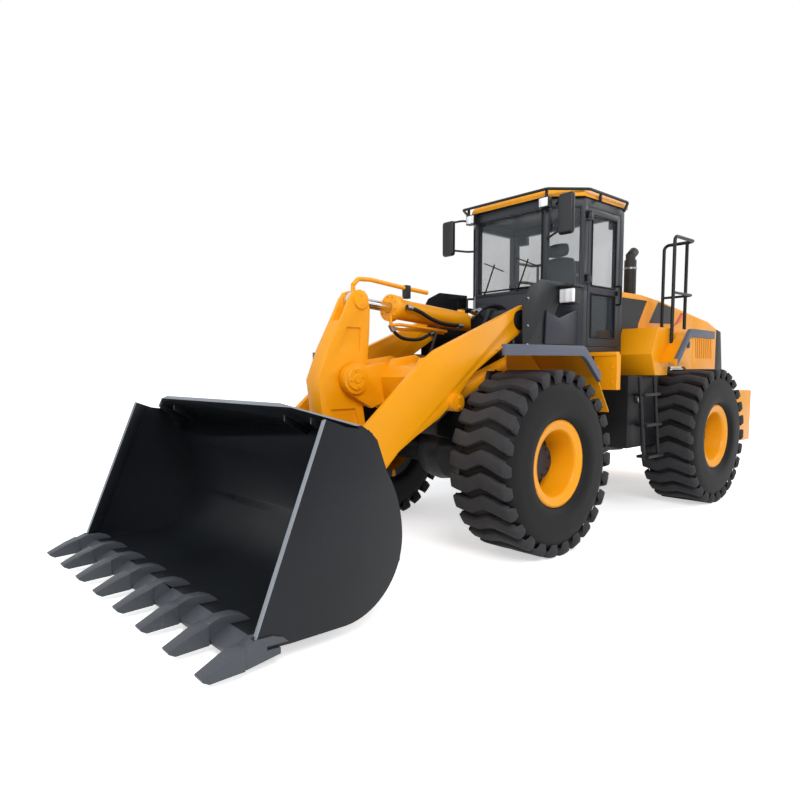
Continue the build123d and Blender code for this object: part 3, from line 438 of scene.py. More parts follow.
# A ring of copies about the local Y axis
ring_tree, ring_sockets, given = copier("ring_of_copies", (
    ("Unit", "Geometry"), ("Count", "Int"), ("Radius", "Float"), ("Start", "Float"), ("Finish", "Material")))
step_angle = worked(ring_tree, "DIVIDE", 2 * math.pi, given["Count"])
place_number = add(ring_tree, "GeometryNodeInputIndex").outputs[0]
turned = worked(ring_tree, "MULTIPLY_ADD", place_number, step_angle, given["Start"])
out_x = worked(ring_tree, "MULTIPLY", worked(ring_tree, "SINE", turned), given["Radius"])
out_z = worked(ring_tree, "MULTIPLY", worked(ring_tree, "COSINE", turned), given["Radius"])
spot = add(ring_tree, "ShaderNodeCombineXYZ", links={"X": out_x, "Z": out_z}).outputs[0]
facing = add(ring_tree, "ShaderNodeCombineXYZ", links={"Y": turned}).outputs[0]
points = add(ring_tree, "GeometryNodePoints", links={"Count": given["Count"], "Position": spot}).outputs[0]
set_copies(ring_tree, given, points, facing)


def grown(tree, sockets, unit, values):
    """The mesh that a Geometry Nodes tree grows from a small mesh and its named inputs."""
    seed = bpy.data.objects.new("seed", unit)
    modifier = seed.modifiers.new("copies", "NODES")
    modifier.node_group = tree
    for name, value in values.items():
        modifier[sockets[name].identifier] = value
    return evaluated(seed)


sidewall_rubber = moulded_rubber("sidewall_rubber", "#131314", 0.6, "#242321", 0.25)
tread_rubber = moulded_rubber("scuffed_tread_rubber", "#333336", 0.75, "#4a4845", 0.35)
wheels = {}
for end in ("front", "rear"):
    for hand, outward in hands:
        low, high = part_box(f"tyre_{end}_{hand}")
        centre = Vector(((low[0] + high[0]) / 2, (low[1] + high[1]) / 2, tyre_radius))
        wheels[end, hand] = centre
        body = f"wheel_{end}_{hand}"
        carcass = carcass_mesh()
        carcass.materials.append(sidewall_rubber)
        carcass.transform(Matrix.Translation(centre))
        set_out(f"carcass_{end}_{hand}", carcass, body, 60.0, (f"tyre_{end}_{hand}",))
        lugs = grown(ring_tree, ring_sockets, lug_mesh(outward),
                     {"Count": lug_count, "Radius": 0.0, "Start": 0.035, "Finish": tread_rubber})
        lugs.transform(Matrix.Translation(centre))
        set_out(f"lugs_{end}_{hand}", lugs, body, 40.0, (f"tyre_{end}_{hand}",))

# The rims are rolled steel barrels with a lock ring, the disc and the planetary hub set deep
# inside. Barrel and flange are sprayed yellow; the disc, the hub and its rings of nuts and bolts are painted
# blue-black as painted shade for the deep dish.
machine_yellow = enamel("machine_yellow_enamel", "#f09e08", 0.36, 0.06, 0.045)
# This blue-black is painted shade: the disc, hub, nuts and bolts sit in the shade of the deep dish.
hub_shade_enamel = enamel("hub_painted_shade_enamel", "#1b1e24", 0.5, 0.0, 0.2, patch_mm=200.0)
disc_inset = -0.052
hub_face = 0.0705
hub_radius = 0.277
nut_circle = 0.243
hub_bolt_circle = 0.125


def bolt_mesh(size):
    """A hexagon head with its chamfer on a flat washer, along +Y. size is the washer's radius."""
    head_radius = 0.86 * size
    work = bmesh.new()
    for sides, radius, top, low, high in ((12, size, size, 0.0, 0.22 * size),
                                          (6, head_radius, head_radius, 0.22 * size, 0.72 * size),
                                          (6, head_radius, 0.70 * size, 0.72 * size, 0.86 * size)):
        angles = [2 * math.pi * k / sides for k in range(sides)]
        foot = [work.verts.new((radius * math.cos(a), low, radius * math.sin(a))) for a in angles]
        head = [work.verts.new((top * math.cos(a), high, top * math.sin(a))) for a in angles]
        bridge(work, foot, head)
        work.faces.new(foot[::-1])
        work.faces.new(head)
    return mesh_of(work, "bolt")


def facing_along(place, axis):
    """The matrix that sets a piece at a place with its local Y along an axis."""
    return Matrix.Translation(place) @ Vector(axis).to_track_quat("Y", "Z").to_matrix().to_4x4()


def bolt_ring(name, place, axis, count, radius, size, finish, body):
    """Bolts evenly round a circle, on a face that looks along axis."""
    mesh = grown(ring_tree, ring_sockets, bolt_mesh(size),
                 {"Count": count, "Radius": radius, "Start": 0.2, "Finish": finish})
    mesh.transform(facing_along(place, axis))
    return set_out(name, mesh, body, 30.0)


def in_shaded_hub(middle, normal):
    """The disc and hub, which lie near the axis of the wheel and are painted dark as painted shade."""
    return min(math.hypot(middle.x - c.x, middle.z - c.z) for c in wheels.values()) < hub_radius


for (end, hand), centre in wheels.items():
    outward = dict(hands)[hand]
    finish_node(f"rim_{end}_{hand}", machine_yellow, 3.0, [(hub_shade_enamel, in_shaded_hub)])
    for name, inset, count, circle, size in (("wheel_nuts", disc_inset, 20, nut_circle, 0.017),
                                             ("hub_bolts", hub_face, 8, hub_bolt_circle, 0.012)):
        bolt_ring(f"{name}_{end}_{hand}", centre + Vector((0, inset * outward, 0)), (0, outward, 0), count,
                  circle, size, hub_shade_enamel, f"wheel_{end}_{hand}")

# The front frame carries the boom's tower, the lift cylinders and the steering lugs. It is a
# welded box of thick plate in the chassis black, with keeper plates bolted over its pins.
drawing_zero = 912.0
boom_pin = (-390.0, 2100.0)
trunnion_pin = (-60.0, 1540.0)


def at(x, z, y=0.0):
    """A place given in millimetres on the drawing, whose zero lies under the tower, in metres."""
    return Vector(((x + drawing_zero) / 1000, y / 1000, z / 1000))


def slab_mesh(outline, y0, y1, edge_mm=2.0):
    """A plate whose outline is (x, z) on the drawing, between two distances to the left."""
    work = bmesh.new()
    near = [work.verts.new(at(x, z, y0)) for x, z in outline]
    far = [work.verts.new(at(x, z, y1)) for x, z in outline]
    work.faces.new(near)
    work.faces.new(far[::-1])
    for k in range(len(outline)):
        after = (k + 1) % len(outline)
        work.faces.new((near[k], far[k], far[after], near[after]))
    mesh = mesh_of(work, "slab")
    return bevelled(mesh, edge_mm, 30.0) if edge_mm else mesh


def box_mesh(x0, x1, y0, y1, z0, z1, edge_mm=2.0):
    """A block with broken edges, in millimetres on the drawing."""
    return slab_mesh([(x0, z0), (x1, z0), (x1, z1), (x0, z1)], y0, y1, edge_mm)


def tube_mesh(points, radius_mm, bend_mm=None):
    """A pipe or hose along points (x, y, z) on the drawing. Pipes turn their corners within bend_mm."""
    route = [at(x, z, y) for x, y, z in points]
    if bend_mm:
        eased = [route[0]]
        for before, corner, after in zip(route, route[1:], route[2:]):
            eased += [corner + (before - corner).normalized() * bend_mm / 1000, corner,
                      corner + (after - corner).normalized() * bend_mm / 1000]
        route = eased + [route[-1]]
    line = bpy.data.curves.new("line", "CURVE")
    line.dimensions = "3D"
    line.bevel_depth = radius_mm / 1000
    line.bevel_resolution = 3
    line.resolution_u = 6
    line.use_fill_caps = True
    spline = line.splines.new("NURBS")
    spline.points.add(len(route) - 1)
    for point, place in zip(spline.points, route):
        point.co = (*place, 1.0)
    spline.order_u = 3
    spline.use_endpoint_u = True
    return evaluated(bpy.data.objects.new("line", line))


def turned_mesh(profile, place, axis, sides=32):
    """A turned piece from (distance along the axis, radius) in millimetres, about an axis through place."""
    angles = [2 * math.pi * k / sides for k in range(sides)]
    work = bmesh.new()
    rings = []
    for along, radius in profile:
        rings.append([work.verts.new((radius / 1000 * math.cos(a), along / 1000, radius / 1000 * math.sin(a)))
                      for a in angles])
    for here, there in zip(rings, rings[1:]):
        bridge(work, here, there)
    work.faces.new(rings[0])
    work.faces.new(rings[-1][::-1])
    mesh = mesh_of(work, "turned")
    mesh.transform(facing_along(place, axis))
    return mesh


def joined(*meshes):
    """Several meshes as one."""
    work = bmesh.new()
    for mesh in meshes:
        work.from_mesh(mesh)
    return mesh_of(work, "joined", turn_faces=False)


def put(name, mesh, material, body, sharp=32.0, stands_for=()):
    """Gives a made mesh its one material and sets it out."""
    return set_out(name, painted(mesh, material), body, sharp, stands_for)


finish_node("front_frame", chassis_black, 4.0)
for hand, side in hands:
    for name, (x, z), y, count, circle in (("boom_pin", boom_pin, 619.5, 4, 0.052),
                                           ("trunnion", trunnion_pin, 595.5, 6, 0.075)):
        bolt_ring(f"{name}_bolts_{hand}", at(x, z, y * side), (0, side, 0), count, circle, 0.011,
                  chassis_black, "front_frame")

# The steering cylinders lie level between the two frames, a black painted barrel and a hard
# chromed rod each, hung on pins in welded lugs.


def hard_chrome(name):
    """Ground and chromed steel, a mirror that is a little duller in patches."""
    material, tree, surface, place = new_material(name)
    haze = ranged(tree, noise(tree, place, 1000.0 / 20.0, 3.0), 0.08, 0.2)
    wire(tree, surface, {"Base Color": linear("#d5d8dc"), "Metallic": 1.0}, {"Roughness": haze})
    return material


chrome = hard_chrome("hard_chrome")
for hand, side in hands:
    finish_node(f"steer_barrel_{hand}", chassis_black, 2.0)
    finish_node(f"steer_rod_{hand}", chrome, 1.5)

# The boom is two cranked plates with a welded box between them, sprayed yellow. Its pins end
# in keeper plates with two bolts each, and the crank's pin in a round cap with four.
finish_node("boom", machine_yellow, 4.0)
bucket_pin = (1880.0, 405.0)
crank_pin = (1300.0, 1548.0)
lift_rod_pin = (540.0, 1335.0)
keeper_plate = 12.0
cap_profile = [(0, 96), (10, 96), (14, 90), (14, 40), (22, 34), (22, 0.5)]


def keeper(pin, y, side, length, width):
    """A pin's keeper plate with its two bolts, on a face that looks out to one side."""
    x, z = pin
    face = (y + keeper_plate) * side
    pieces = [box_mesh(x - width, x + width, y * side, face, z - length, z + length)]
    for dz in (-0.62 * length, 0.62 * length):
        head = bolt_mesh(0.0125)
        head.transform(facing_along(at(x, z + dz, face), (0, side, 0)))
        pieces.append(head)
    return joined(*pieces)


for hand, side in hands:
    for name, pin, y, length, width in (("bucket_pin", bucket_pin, 675.5, 38, 16),
                                        ("lift_pin", lift_rod_pin, 655.5, 62, 26)):
        put(f"{name}_keeper_{hand}", keeper(pin, y, side, length, width), machine_yellow, "boom")
    put(f"crank_pin_cap_{hand}", turned_mesh(cap_profile, at(*crank_pin, 176.3 * side), (0, side, 0)),
        machine_yellow, "boom")
    bolt_ring(f"crank_pin_bolts_{hand}", at(*crank_pin, 190 * side), (0, side, 0), 4, 0.068, 0.011,
              machine_yellow, "boom")

# The bell crank is one casting and the dump link a welded pair of bars, yellow as the boom is,
# with keepers over the pins of the crank's two ends.
finish_node("bell_crank", machine_yellow, 5.0)
finish_node("dump_link", machine_yellow, 4.0)
crank_top = (1180.0, 2228.0)
crank_low = (1080.0, 620.0)
for hand, side in hands:
    put(f"crank_top_keeper_{hand}", keeper(crank_top, 90.5, side, 58, 24), machine_yellow, "bell_crank")
    put(f"link_keeper_{hand}", keeper(crank_low, 136.5, side, 46, 20), machine_yellow, "dump_link")

# The bucket is a rolled shell of wear plate with thick cheeks and a spill guard. It is sprayed
# blue-black. The cheeks' front edges and the spill guard's top and lip are painted pale grey as a painted
# highlight, with scratches and thin patches where the load has scoured.


def worn_enamel(name, hex_colour, worn_colour, roughness, wear):
    """Enamel that a load has scoured: long fine scratches and thin patches down to duller metal."""
    material = enamel(name, hex_colour, roughness, 0.05, 0.16, patch_mm=700.0, ripple_mm=0.2)
    tree, surface, place = inside(material)
    stretched = add(tree, "ShaderNodeMapping", inputs={"Scale": (6.0, 0.9, 1.6)},
                    links={"Vector": place}).outputs["Vector"]
    share = ranged(tree, noise(tree, stretched, 7.0, 9.0, 0.75), 0.0, wear, 0.60, 0.78)
    colour = surface.inputs["Base Color"].links[0].from_socket
    scoured = add(tree, "ShaderNodeMix", {"data_type": "RGBA"}, {"B": linear(worn_colour)},
                  {"Factor": share, "A": colour}).outputs["Result"]
    wire(tree, surface, {"Specular IOR Level": 0.2}, {"Base Color": scoured})
    return material


bucket_enamel = worn_enamel("blue_black_bucket_enamel", "#14171b", "#565b62", 0.38, 0.16)
# The pale grey of the bucket's edges is a painted highlight, with scratches of load wear over it.
edge_highlight_and_wear = worn_enamel("painted_highlight_worn_edge_steel", "#83888f", "#b0b5bb", 0.42, 0.5)
tooth_steel = worn_enamel("dark_tooth_casting", "#484b50", "#8d9196", 0.44, 0.6)


def highlit_edges(middle, normal):
    """The narrow faces of the cheeks' front edges, and the spill guard's top and lip, which take a painted
    highlight.
    """
    if middle.z > 1.30 and middle.x > 2.75 and normal.z > 0.35:
        return True
    at_side = abs(middle.y) > 1.44 or middle.z > 1.36
    return normal.x > 0.55 and middle.z > 0.16 and at_side and middle.x > 3.0


finish_node("bucket", bucket_enamel, 4.0, [(edge_highlight_and_wear, highlit_edges)])
finish_node("bucket_edge", tooth_steel, 4.0)

# The lift cylinders are swung in trunnions in the front frame. Their barrels are yellow, the
# gland is held by a ring of cap screws, and the rods are hard chromed.
finish_node("lift_barrels", machine_yellow, 3.0)
lift_reach = at(*lift_rod_pin) - at(*trunnion_pin)
lift_axis = lift_reach.normalized()
rod_eye = 0.095
lift_gland = 0.1345


def beyond_rod(middle, normal):
    """The eye at the rod's end, which is painted with the barrel."""
    return (middle - at(*trunnion_pin)).dot(lift_axis) > lift_reach.length - rod_eye


finish_node("lift_rods", chrome, 2.0, [(machine_yellow, beyond_rod)])
for hand, side in hands:
    gland = at(*trunnion_pin, 430 * side) + lift_axis * (lift_reach.length - lift_gland)
    bolt_ring(f"lift_gland_bolts_{hand}", gland, lift_axis, 10, 0.084, 0.0085, machine_yellow,
              "lift_barrels")

# The tilt cylinder runs along the middle from the frame's tower to the crank's head, built as
# the lift cylinders are. A level guard bar over its gland slides through a black clamp.
finish_node("tilt_barrel", machine_yellow, 3.0)
finish_node("tilt_rod", chrome, 2.0)
tilt_axis = (at(*crank_top) - at(*boom_pin)).normalized()
tilt_gland = 1.1655
bolt_ring("tilt_gland_bolts", at(*boom_pin) + tilt_axis * tilt_gland, tilt_axis, 10, 0.103, 0.0105,
          machine_yellow, "tilt_barrel")
hose_rubber = moulded_rubber("hydraulic_hose_rubber", "#17181a", 0.45, "#2c2b29", 0.2)
zinc = enamel("zinc_plated_fittings", "#8d9094", 0.32, 0.0, 0.1, patch_mm=40.0)
zinc.node_tree.nodes["Principled BSDF"].inputs["Metallic"].default_value = 0.9
level_route = [(1188, 0, 2364), (1131, 0, 2421), (993, 0, 2428), (577, 0, 2388), (270, 0, 2366)]
put("level_bar", tube_mesh(level_route, 20, 30), machine_yellow, "tilt_rod", 60.0)
put("level_bar_stem", box_mesh(1172, 1204, -14, 14, 2290, 2370), machine_yellow, "tilt_rod")
put("level_bar_clamp", box_mesh(515, 575, -30, 30, 2290, 2414, 6.0), chassis_black, "tilt_barrel")

# Hydraulic lines run over the tower to the cylinders: black wire-braid hoses in crimped zinc
# ferrules, and yellow hard pipes clipped to the tilt barrel.
ferrule_length = 62


def hose(name, points, radius_mm, body):
    """A hose held at both ends, with a crimped ferrule at each."""
    ends = []
    for tip, following in ((points[0], points[1]), (points[-1], points[-2])):
        inner = Vector(tip) + (Vector(following) - Vector(tip)).normalized() * ferrule_length
        ends.append(tube_mesh([tip, tuple(inner)], radius_mm * 1.32))
    put(name, tube_mesh(points, radius_mm), hose_rubber, body, 60.0)
    put(name + "_ferrules", joined(*ends), zinc, body, 60.0)


hose("tilt_hose", [(662, 130, 2196), (521, 130, 2178), (335, 130, 2095), (141, 130, 2056), (-92, 130, 2056)],
     19, "tilt_barrel")
upper_pipe = tube_mesh([(800, 60, 2120), (800, 60, 2030), (685, 60, 2040), (426, 60, 2026), (60, 60, 2000)],
                       15, 30)
lower_pipe = tube_mesh([(760, 20, 2110), (760, 20, 2010), (660, 20, 2000), (426, 20, 2000), (60, 20, 1985)],
                       15, 30)
put("tilt_pipe", joined(upper_pipe, lower_pipe), machine_yellow, "tilt_barrel", 60.0)
hose("tilt_port_hose", [(791, 40, 2030), (717, 40, 1935), (538, 40, 1900), (352, 40, 1919), (214, 40, 1995)],
     17, "tilt_barrel")
for k, y in enumerate((-215, -160, 160, 215)):
    rise = 8 * k
    hose(f"tower_hose_{k}", [(-215, y, 2190), (-361, y, 2239 + rise), (-560, y, 2262 + rise), (-690, y, 2235),
                             (-780, y, 2120), (-800, y, 1900)], 18, "front_frame")

# The front fenders are bent sheets on the front frame: a slate-grey tread plate on top, with
# yellow skirts bolted under it beside and behind the tyre.
fender_side = 1.255


def moulded_plastic(name, hex_colour, roughness, grain_mm=3.0):
    """Moulded or powder-coated cover with a fine even grain that softens its gloss."""
    material = enamel(name, hex_colour, roughness, 0.0, 0.08, patch_mm=500.0)
    tree, surface, place = inside(material)
    # A leather grain under a millimetre wide is drawn at 3 mm so that it shows up close
    cells = add(tree, "ShaderNodeTexVoronoi", inputs={"Scale": 1000.0 / grain_mm},
                links={"Vector": place}).outputs["Distance"]
    wire(tree, surface, links={"Normal": bump(tree, cells, 0.0006, 0.35)})
    return material


slate_trim = moulded_plastic("slate_grey_trim", "#565a66", 0.46)


def fender_trim(middle, normal):
    """The tread plate and its outer lip."""
    outer = abs(middle.y) > fender_side
    return middle.z > 1.70 and (normal.z > 0.3 or outer) or (outer and middle.z > 1.5)


finish_node("front_fenders", machine_yellow, 3.0, [(slate_trim, fender_trim)])
fender_bolts = [(x, z, y) for x, z in ((-806, 1414), (-886, 1304)) for y in (900, 1180)]
for hand, side in hands:
    for k, (x, z, y) in enumerate(fender_bolts):
        bolt_ring(f"fender_bolts_{hand}_{k}", at(x, z, y * side), (-0.85, 0, 0.5), 2, 0.05, 0.010,
                  machine_yellow, "front_frame")

# A dark moulded cover rises between fender and cab on each side. It carries the headlamp in a
# black housing, and its lens is clear ribbed plastic over a bright reflector.
cover_slate = moulded_plastic("dark_moulded_cover", "#16181b", 0.42)
cover_panel = moulded_plastic("cover_panel", "#2b2f38", 0.40)
cover_outline = [(-692, 2204), (-903, 2137), (-1235, 2246), (-1275, 2150), (-1280, 1871), (-668, 1871)]


def lamp_lens(name, dark="#dde1e5", bright="#fdfdfd"):
    """Clear moulded lens over a reflector, with upright flutes about 75 mm apart."""
    material, tree, surface, place = new_material(name)
    flutes = add(tree, "ShaderNodeTexWave", {"bands_direction": "Y"},
                 {"Scale": 1000.0 / 12.0 / 20, "Distortion": 0.4}, {"Vector": place}).outputs["Fac"]
    wire(tree, surface, {"Roughness": 0.12, "Coat Weight": 0.8},
         {"Base Color": shaded(tree, flutes, linear(dark), linear(bright)),
          "Normal": bump(tree, flutes, 0.002, 0.5)})
    return material


clear_lens = lamp_lens("fluted_lamp_lens")
finish_node("headlamps", cover_slate, 4.0)


def rounded_block(low, high, corner_mm, segments=4):
    """A block between two places with well rounded edges."""
    work = bmesh.new()
    bmesh.ops.create_cube(work, size=1.0)
    for vertex in work.verts:
        vertex.co = [(low[k] + high[k]) / 2 + vertex.co[k] * abs(high[k] - low[k]) for k in range(3)]
    return bevelled(mesh_of(work, "block", turn_faces=False), corner_mm, 30.0, segments)


for hand, side in hands:
    lens_block = rounded_block(at(-950, 2288, 696 * side), at(-914, 2426, 862 * side), 14.0)
    put(f"headlamp_lens_{hand}", lens_block, clear_lens, "front_frame", 60.0)
    lamp_hood = rounded_block(at(-1080, 2436, 688 * side), at(-896, 2462, 876 * side), 8.0)
    put(f"headlamp_hood_{hand}", lamp_hood, cover_slate, "front_frame", 60.0)
    put(f"side_cover_{hand}", slab_mesh(cover_outline, 690 * side, 712 * side, 8.0), cover_panel,
        "front_frame")
    for k, z in enumerate((2300, 2040, 1860)):
        bolt_ring(f"cover_bolts_{hand}_{k}", at(-400, z, 690 * side), (0, side, 0), 1, 0.0, 0.013, zinc,
                  "front_frame")

# The cab is a rolled-tube and sheet frame with glued panes. Its walls are powder-coated dark
# slate and its roof cap is yellow, with a black tube rail bent round its edge.
cab_slate = moulded_plastic("slate_powder_coat", "#22252b", 0.42, 4.0)
finish_node("cab_base", cab_slate, 4.0)
finish_node("cab_frame", cab_slate, 4.0)


def headlining(middle, normal):
    """The roof's lower face, which is lined in the cab's slate."""
    return normal.z < -0.5


finish_node("cab_roof", machine_yellow, 5.0, [(cab_slate, headlining)])
half_rail = [(-1995, 790, 3345), (-2056, 800, 3446), (-1275, 800, 3452), (-880, 560, 3436)]
rail_route = half_rail + [(x, -y, z) for x, y, z in half_rail[::-1]]
put("roof_rail", tube_mesh(rail_route, 15, 60), chassis_black, "rear_frame", 60.0)
brackets = [box_mesh(x - 12, x + 12, y - 12, y + 12, 3360, 3440)
            for x, y in ((-1500, 790), (-1500, -790), (-930, 520), (-930, -520))]
put("roof_rail_brackets", joined(*brackets), chassis_black, "rear_frame")

# The panes are green-tinted safety glass, eight millimetres thick, set in black rubber. They
# pass a dimmed view of the seat, and give back the sky.


def tinted_glass(name, hex_colour, share):
    """Tinted safety glass: a thin dark film that passes most of the light, with a sharp reflection."""
    material, tree, surface, place = new_material(name)
    film = ranged(tree, noise(tree, place, 1.4, 3.0), share - 0.06, share + 0.06)
    wire(tree, surface, {"Base Color": linear(hex_colour), "Roughness": 0.03, "IOR": 1.52,
                         "Specular IOR Level": 1.0}, {"Alpha": film})
    return material


cab_pane = tinted_glass("green_tinted_cab_glass", "#4b555c", 0.20)
finish_node("cab_glass", cab_pane, 0)
finish_node("door_glass", cab_pane, 0)
gasket_rubber = moulded_rubber("window_gasket_rubber", "#101113", 0.5, "#1c1c1c", 0.1)

# The door is a sheet frame on two hinges at its front edge. It has a black grab handle, a
# latch, and rubber round both panes.
finish_node("door_frame", cab_slate, 3.0)
seals = []
for z0, z1 in ((2500, 3230), (1960, 2420)):
    window = [(-1915, 751, z0), (-1425, 751, z0), (-1425, 751, z1), (-1915, 751, z1), (-1915, 751, z0)]
    seals.append(tube_mesh(window, 9, 25))
put("door_seals", joined(*seals), gasket_rubber, "cab_door", 60.0)
handle = tube_mesh([(-1950, 752, 2330), (-1950, 800, 2330), (-1950, 800, 2530), (-1950, 752, 2530)], 11, 25)
put("door_handle", handle, gasket_rubber, "cab_door", 60.0)
latch = box_mesh(-1975, -1930, 749, 768, 2430, 2480, 4.0)
put("door_latch", latch, gasket_rubber, "cab_door")

# A rubber bead holds the windscreen, two wiper arms lie parked over it, and a black grab rail
# stands on each side of it.
bead = [(-997, -425, 2500), (-997, 425, 2500), (-997, 425, 3270), (-997, -425, 3270), (-997, -425, 2500)]
put("screen_bead", tube_mesh(bead, 9, 30), gasket_rubber, "rear_frame", 60.0)
wipers = []
for y in (-330, 120):
    wipers.append(tube_mesh([(-985, y, 2470), (-975, y + 30, 2500), (-978, y + 150, 2790)], 8, 12))
    wipers.append(tube_mesh([(-985, y, 2820), (-985, y + 270, 2700)], 6))
put("wipers", joined(*wipers), gasket_rubber, "rear_frame", 60.0)
rails = [tube_mesh([(-1010, 500 * side, 1990), (-955, 560 * side, 1990), (-955, 560 * side, 2440),
                    (-1010, 500 * side, 2440)], 13, 40) for hand, side in hands]
put("front_grab_rail", joined(*rails), chassis_black, "rear_frame", 60.0)

# The driver's place: a steering wheel and column, a sprung seat base, and three cushions of
# black vinyl, each a foam pad in a sewn cover.
console_plastic = moulded_plastic("black_console_plastic", "#1d1f22", 0.5)
vinyl = moulded_plastic("black_seat_vinyl", "#26282b", 0.48, 5.0)


def in_cushion(p):
    """The blocks of the driver's station that stand for its cushions."""
    return p.x < at(-1449, 0).x and abs(p.y) < 0.2505 and p.z > 2.2495


put("steering_column_and_armrest", built("driver_station", in_cushion), console_plastic, "rear_frame",
    32.0, ("driver_station",))


def cushion_mesh(low, high, crown, channels, across):
    """A padded cushion in a box: crowned faces, drawn-in corners, and sewn channels across one side."""
    middle = (low + high) / 2
    half = (high - low) / 2
    work = bmesh.new()
    bmesh.ops.create_cube(work, size=2.0)
    bmesh.ops.subdivide_edges(work, edges=work.edges, cuts=15, use_grid_fill=True)
    for vertex in work.verts:
        p = vertex.co.copy()
        rounded = Vector()
        for k in range(3):
            u, v = p[(k + 1) % 3] ** 2, p[(k + 2) % 3] ** 2
            rounded[k] = p[k] * math.sqrt(max(0.0, 1 - 0.5 * crown * (u + v) + crown * crown * u * v / 3))
        for seam in channels:
            gap = (p[across] - seam) / 0.09
            rounded *= 1 - 0.035 * math.exp(-gap * gap)
        vertex.co = [middle[k] + half[k] * rounded[k] for k in range(3)]
    blank = bpy.data.objects.new("cushion", mesh_of(work, "cushion"))
    soften = blank.modifiers.new("soften", "SUBSURF")
    soften.levels = soften.render_levels = 1
    return evaluated(blank)


for name, low, high, crown, channels, across, fill in (
        ("seat_cushion", at(-1950, 2250, -250), at(-1450, 2370, 250), 0.5, (-0.55, 0.55), 1, 0.8),
        ("seat_back", at(-2010, 2370, -240), at(-1890, 2950, 240), 0.5, (-0.5, 0.0, 0.5), 2, 0.75),
        ("seat_headrest", at(-1990, 2950, -140), at(-1900, 3110, 140), 0.6, (), 1, 0.8)):
    pad = put(name, cushion_mesh(low, high, crown, channels, across), vinyl, "rear_frame", 60.0,
              ("driver_station",))

# Mirrors and work lamps: black moulded shells on bent arms, silvered mirror glass behind, and
# black lamp bodies with pale fluted lenses on the roof's corners.
mirror_black = moulded_plastic("black_moulded_shell", "#1a1b1e", 0.38)
mirror_glass = hard_chrome("silvered_mirror_glass")
lower_arm = ((-1009, 486, 2980), (-960, 560, 2980), (-885, 720, 3010))
upper_arm = ((-1074, 546, 3324), (-985, 660, 3352), (-885, 740, 3330))
for hand, side in hands:
    shell = rounded_block(at(-918, 2950, 700 * side), at(-846, 3350, 870 * side), 34.0, 8)
    put(f"mirror_shell_{hand}", shell, mirror_black, "rear_frame", 60.0, ("mirrors",))
    silvering = rounded_block(at(-922, 2978, 722 * side), at(-916, 3322, 848 * side), 2.5, 2)
    put(f"mirror_glass_{hand}", silvering, mirror_glass, "rear_frame", 40.0)
    arms = [tube_mesh([(x, y * side, z) for x, y, z in arm], 12, 60) for arm in (lower_arm, upper_arm)]
    put(f"mirror_arms_{hand}", joined(*arms), mirror_black, "rear_frame", 60.0, ("mirrors",))
finish_node("work_lamps", mirror_black, 14.0)
for hand, side in hands:
    front_lens = rounded_block(at(-925, 3279, 438 * side), at(-909, 3366, 542 * side), 7.0)
    put(f"roof_lamp_lens_{hand}", front_lens, clear_lens, "rear_frame", 60.0)
    rear_lens = rounded_block(at(-2144, 3212, 572 * side), at(-2132, 3288, 668 * side), 5.0)
    put(f"rear_lamp_lens_{hand}", rear_lens, clear_lens, "rear_frame", 60.0)

# The hood is a sheet shell in yellow over the engine. Its black side panels are vinyl film, and
# a red and orange stripe runs up beside them.
finish_node("hood", machine_yellow, 4.0)
film_black = moulded_plastic("satin_black_film", "#17181b", 0.4)
stripe_red = enamel("red_stripe_film", "#c8321c", 0.35, 0.2, 0.05)
stripe_orange = enamel("orange_stripe_film", "#e8731a", 0.35, 0.2, 0.05)
hood_panel = [(-3089, 2440), (-3156, 2440), (-3490, 2396), (-3494, 2195), (-2874, 2179)]
quarter_panel = [(-2135, 1850), (-2135, 2440), (-2802, 2440), (-2600, 2155), (-2560, 1860)]
red_stripe = [(-3740, 2352), (-3800, 2345), (-3646, 2202), (-3541, 2171)]
orange_stripe = [(-3812, 2343), (-3861, 2337), (-3752, 2232), (-3660, 2200)]
films = (("hood_panel", film_black, hood_panel), ("quarter_panel", film_black, quarter_panel),
         ("red_stripe", stripe_red, red_stripe), ("orange_stripe", stripe_orange, orange_stripe))
for hand, side in hands:
    for name, film, outline in films:
        sheet = slab_mesh(outline, 680.1 * side, 682.5 * side, 0)
        put(f"{name}_{hand}", sheet, film, "rear_frame")
    for k, x in enumerate((-3250, -4020)):
        latch = box_mesh(x, x + 60, 680.2 * side, 696 * side, 1900, 1990, 5.0)
        put(f"hood_latch_{hand}_{k}", latch, mirror_black, "rear_frame")

# The side decks, rear fenders and the cover under the cab are yellow sheet. Pressed tread
# plate tops the decks, and slate strips edge the fenders.
finish_node("side_decks", machine_yellow, 3.0)
deck_x = (-3220, -2260)
deck_y = (720, 1080)
deck_top = 2080.0
deck_margin = 40

# Rows of copies on a level grid, each turned a quarter from its neighbour
row_tree, row_sockets, given = copier("rows_of_copies", (
    ("Unit", "Geometry"), ("Along", "Int"), ("Across", "Int"), ("Length", "Float"), ("Width", "Float"),
    ("Finish", "Material")))
grid = add(row_tree, "GeometryNodeMeshGrid",
           links={"Size X": given["Length"], "Size Y": given["Width"],
                  "Vertices X": given["Along"], "Vertices Y": given["Across"]}).outputs["Mesh"]
parity = worked(row_tree, "MODULO", add(row_tree, "GeometryNodeInputIndex").outputs[0], 2.0)
turn = worked(row_tree, "MULTIPLY_ADD", parity, math.pi / 2, math.pi / 4)
facing = add(row_tree, "ShaderNodeCombineXYZ", links={"Z": turn}).outputs[0]
set_copies(row_tree, given, grid, facing)


def tread_bar():
    """One raised bar of tread plate, lens-shaped, 30 mm long and 2.5 mm high."""
    work = bmesh.new()
    angles = [k * math.pi / 4 for k in range(8)]
    rim = [work.verts.new((0.015 * math.cos(a), 0.005 * math.sin(a), 0)) for a in angles]
    top = [work.verts.new((0.009 * math.cos(a), 0.0025 * math.sin(a), 0.0025)) for a in angles]
    bridge(work, rim, top)
    work.faces.new(top)
    work.faces.new(rim[::-1])
    return mesh_of(work, "tread_bar")


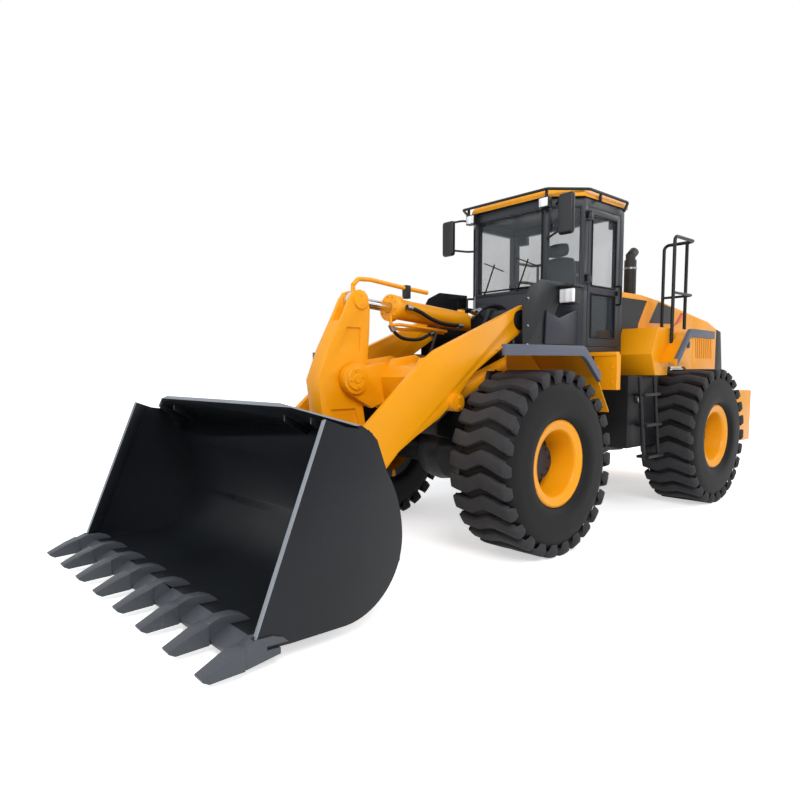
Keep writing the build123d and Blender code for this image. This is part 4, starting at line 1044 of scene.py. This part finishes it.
for hand, side in hands:
    tread = grown(row_tree, row_sockets, tread_bar(),
                  {"Along": 25, "Across": 10, "Length": (deck_x[1] - deck_x[0] - deck_margin) / 1000,
                   "Width": (deck_y[1] - deck_y[0] - deck_margin) / 1000, "Finish": machine_yellow})
    tread.transform(Matrix.Translation(at(sum(deck_x) / 2, deck_top + 0.1, side * sum(deck_y) / 2)))
    set_out(f"deck_tread_{hand}", tread, "rear_frame", 30.0)
    for k, (y, z) in enumerate(((830, 1480), (830, 1640), (1000, 1480), (1000, 1640))):
        bolt_ring(f"under_cab_bolts_{hand}_{k}", at(-1449.5, z, y * side), (1, 0, 0), 1, 0.0, 0.013,
                  machine_yellow, "rear_frame")


def rear_trim(middle, normal):
    """The rear fenders' outer strips."""
    return abs(middle.y) > fender_side


finish_node("rear_fenders", machine_yellow, 3.0, [(slate_trim, rear_trim)])

# The radiator guard is a black welded grille at the tail, and the counterweight under it is
# one thick casting, filled, rubbed down and painted yellow.
finish_node("radiator_guard", chassis_black, 3.0)
finish_node("counterweight", machine_yellow, 10.0)
tail_lens = lamp_lens("red_tail_lens", "#6d0f0c", "#b3201a")
for hand, y in (("left", 560), ("right", -800)):
    tail_lamp = box_mesh(-5196, -5176, y + 4, y + 236, 1134, 1216, 3.0)
    put(f"tail_lamp_{hand}", tail_lamp, tail_lens, "rear_frame")

# Exhaust stack and air cleaner stand on the hood: rolled steel tube, sprayed with matt black
# heat paint that has browned in patches.
heat_black = enamel("browned_heat_paint", "#26221f", 0.6, 0.0, 0.35, patch_mm=220.0)
finish_node("exhaust", heat_black, 5.0)
bands = []
for x, y, band, heights in ((-3200, 250, [(0, 79), (4, 82), (22, 82), (26, 79)], (2560, 2900)),
                            (-2800, -300, [(0, 74), (4, 77), (20, 77), (24, 74)], (2560, 2840))):
    bands += [turned_mesh(band, at(x, z, y), (0, 0, 1)) for z in heights]
put("stack_bands", joined(*bands), zinc, "rear_frame")

# Ladders, tanks and guard rails are black: folded sheet tanks, tube stringers, rails bent from
# one length, and treads with studs for grip.
finish_node("side_steps", chassis_black, 3.0)
finish_node("guard_rails", chassis_black, 0)
tank_cap = [(0, 52), (6, 56), (34, 56), (40, 50), (40, 0.5)]
ladder_rake = 150 / 900
for hand, side in hands:
    put(f"tank_cap_{hand}", turned_mesh(tank_cap, at(-2000, 1300, 999.5 * side), (0, side, 0)), zinc,
        "rear_frame")
    for k, z in enumerate((680, 1030, 1360)):
        x = -1800 - ladder_rake * (1540 - (z - 30)) - 165
        bolt_ring(f"step_studs_{hand}_{k}", at(x, z + 0.2, 1110 * side), (0, 0, 1), 8, 0.05, 0.008,
                  chassis_black, "rear_frame")
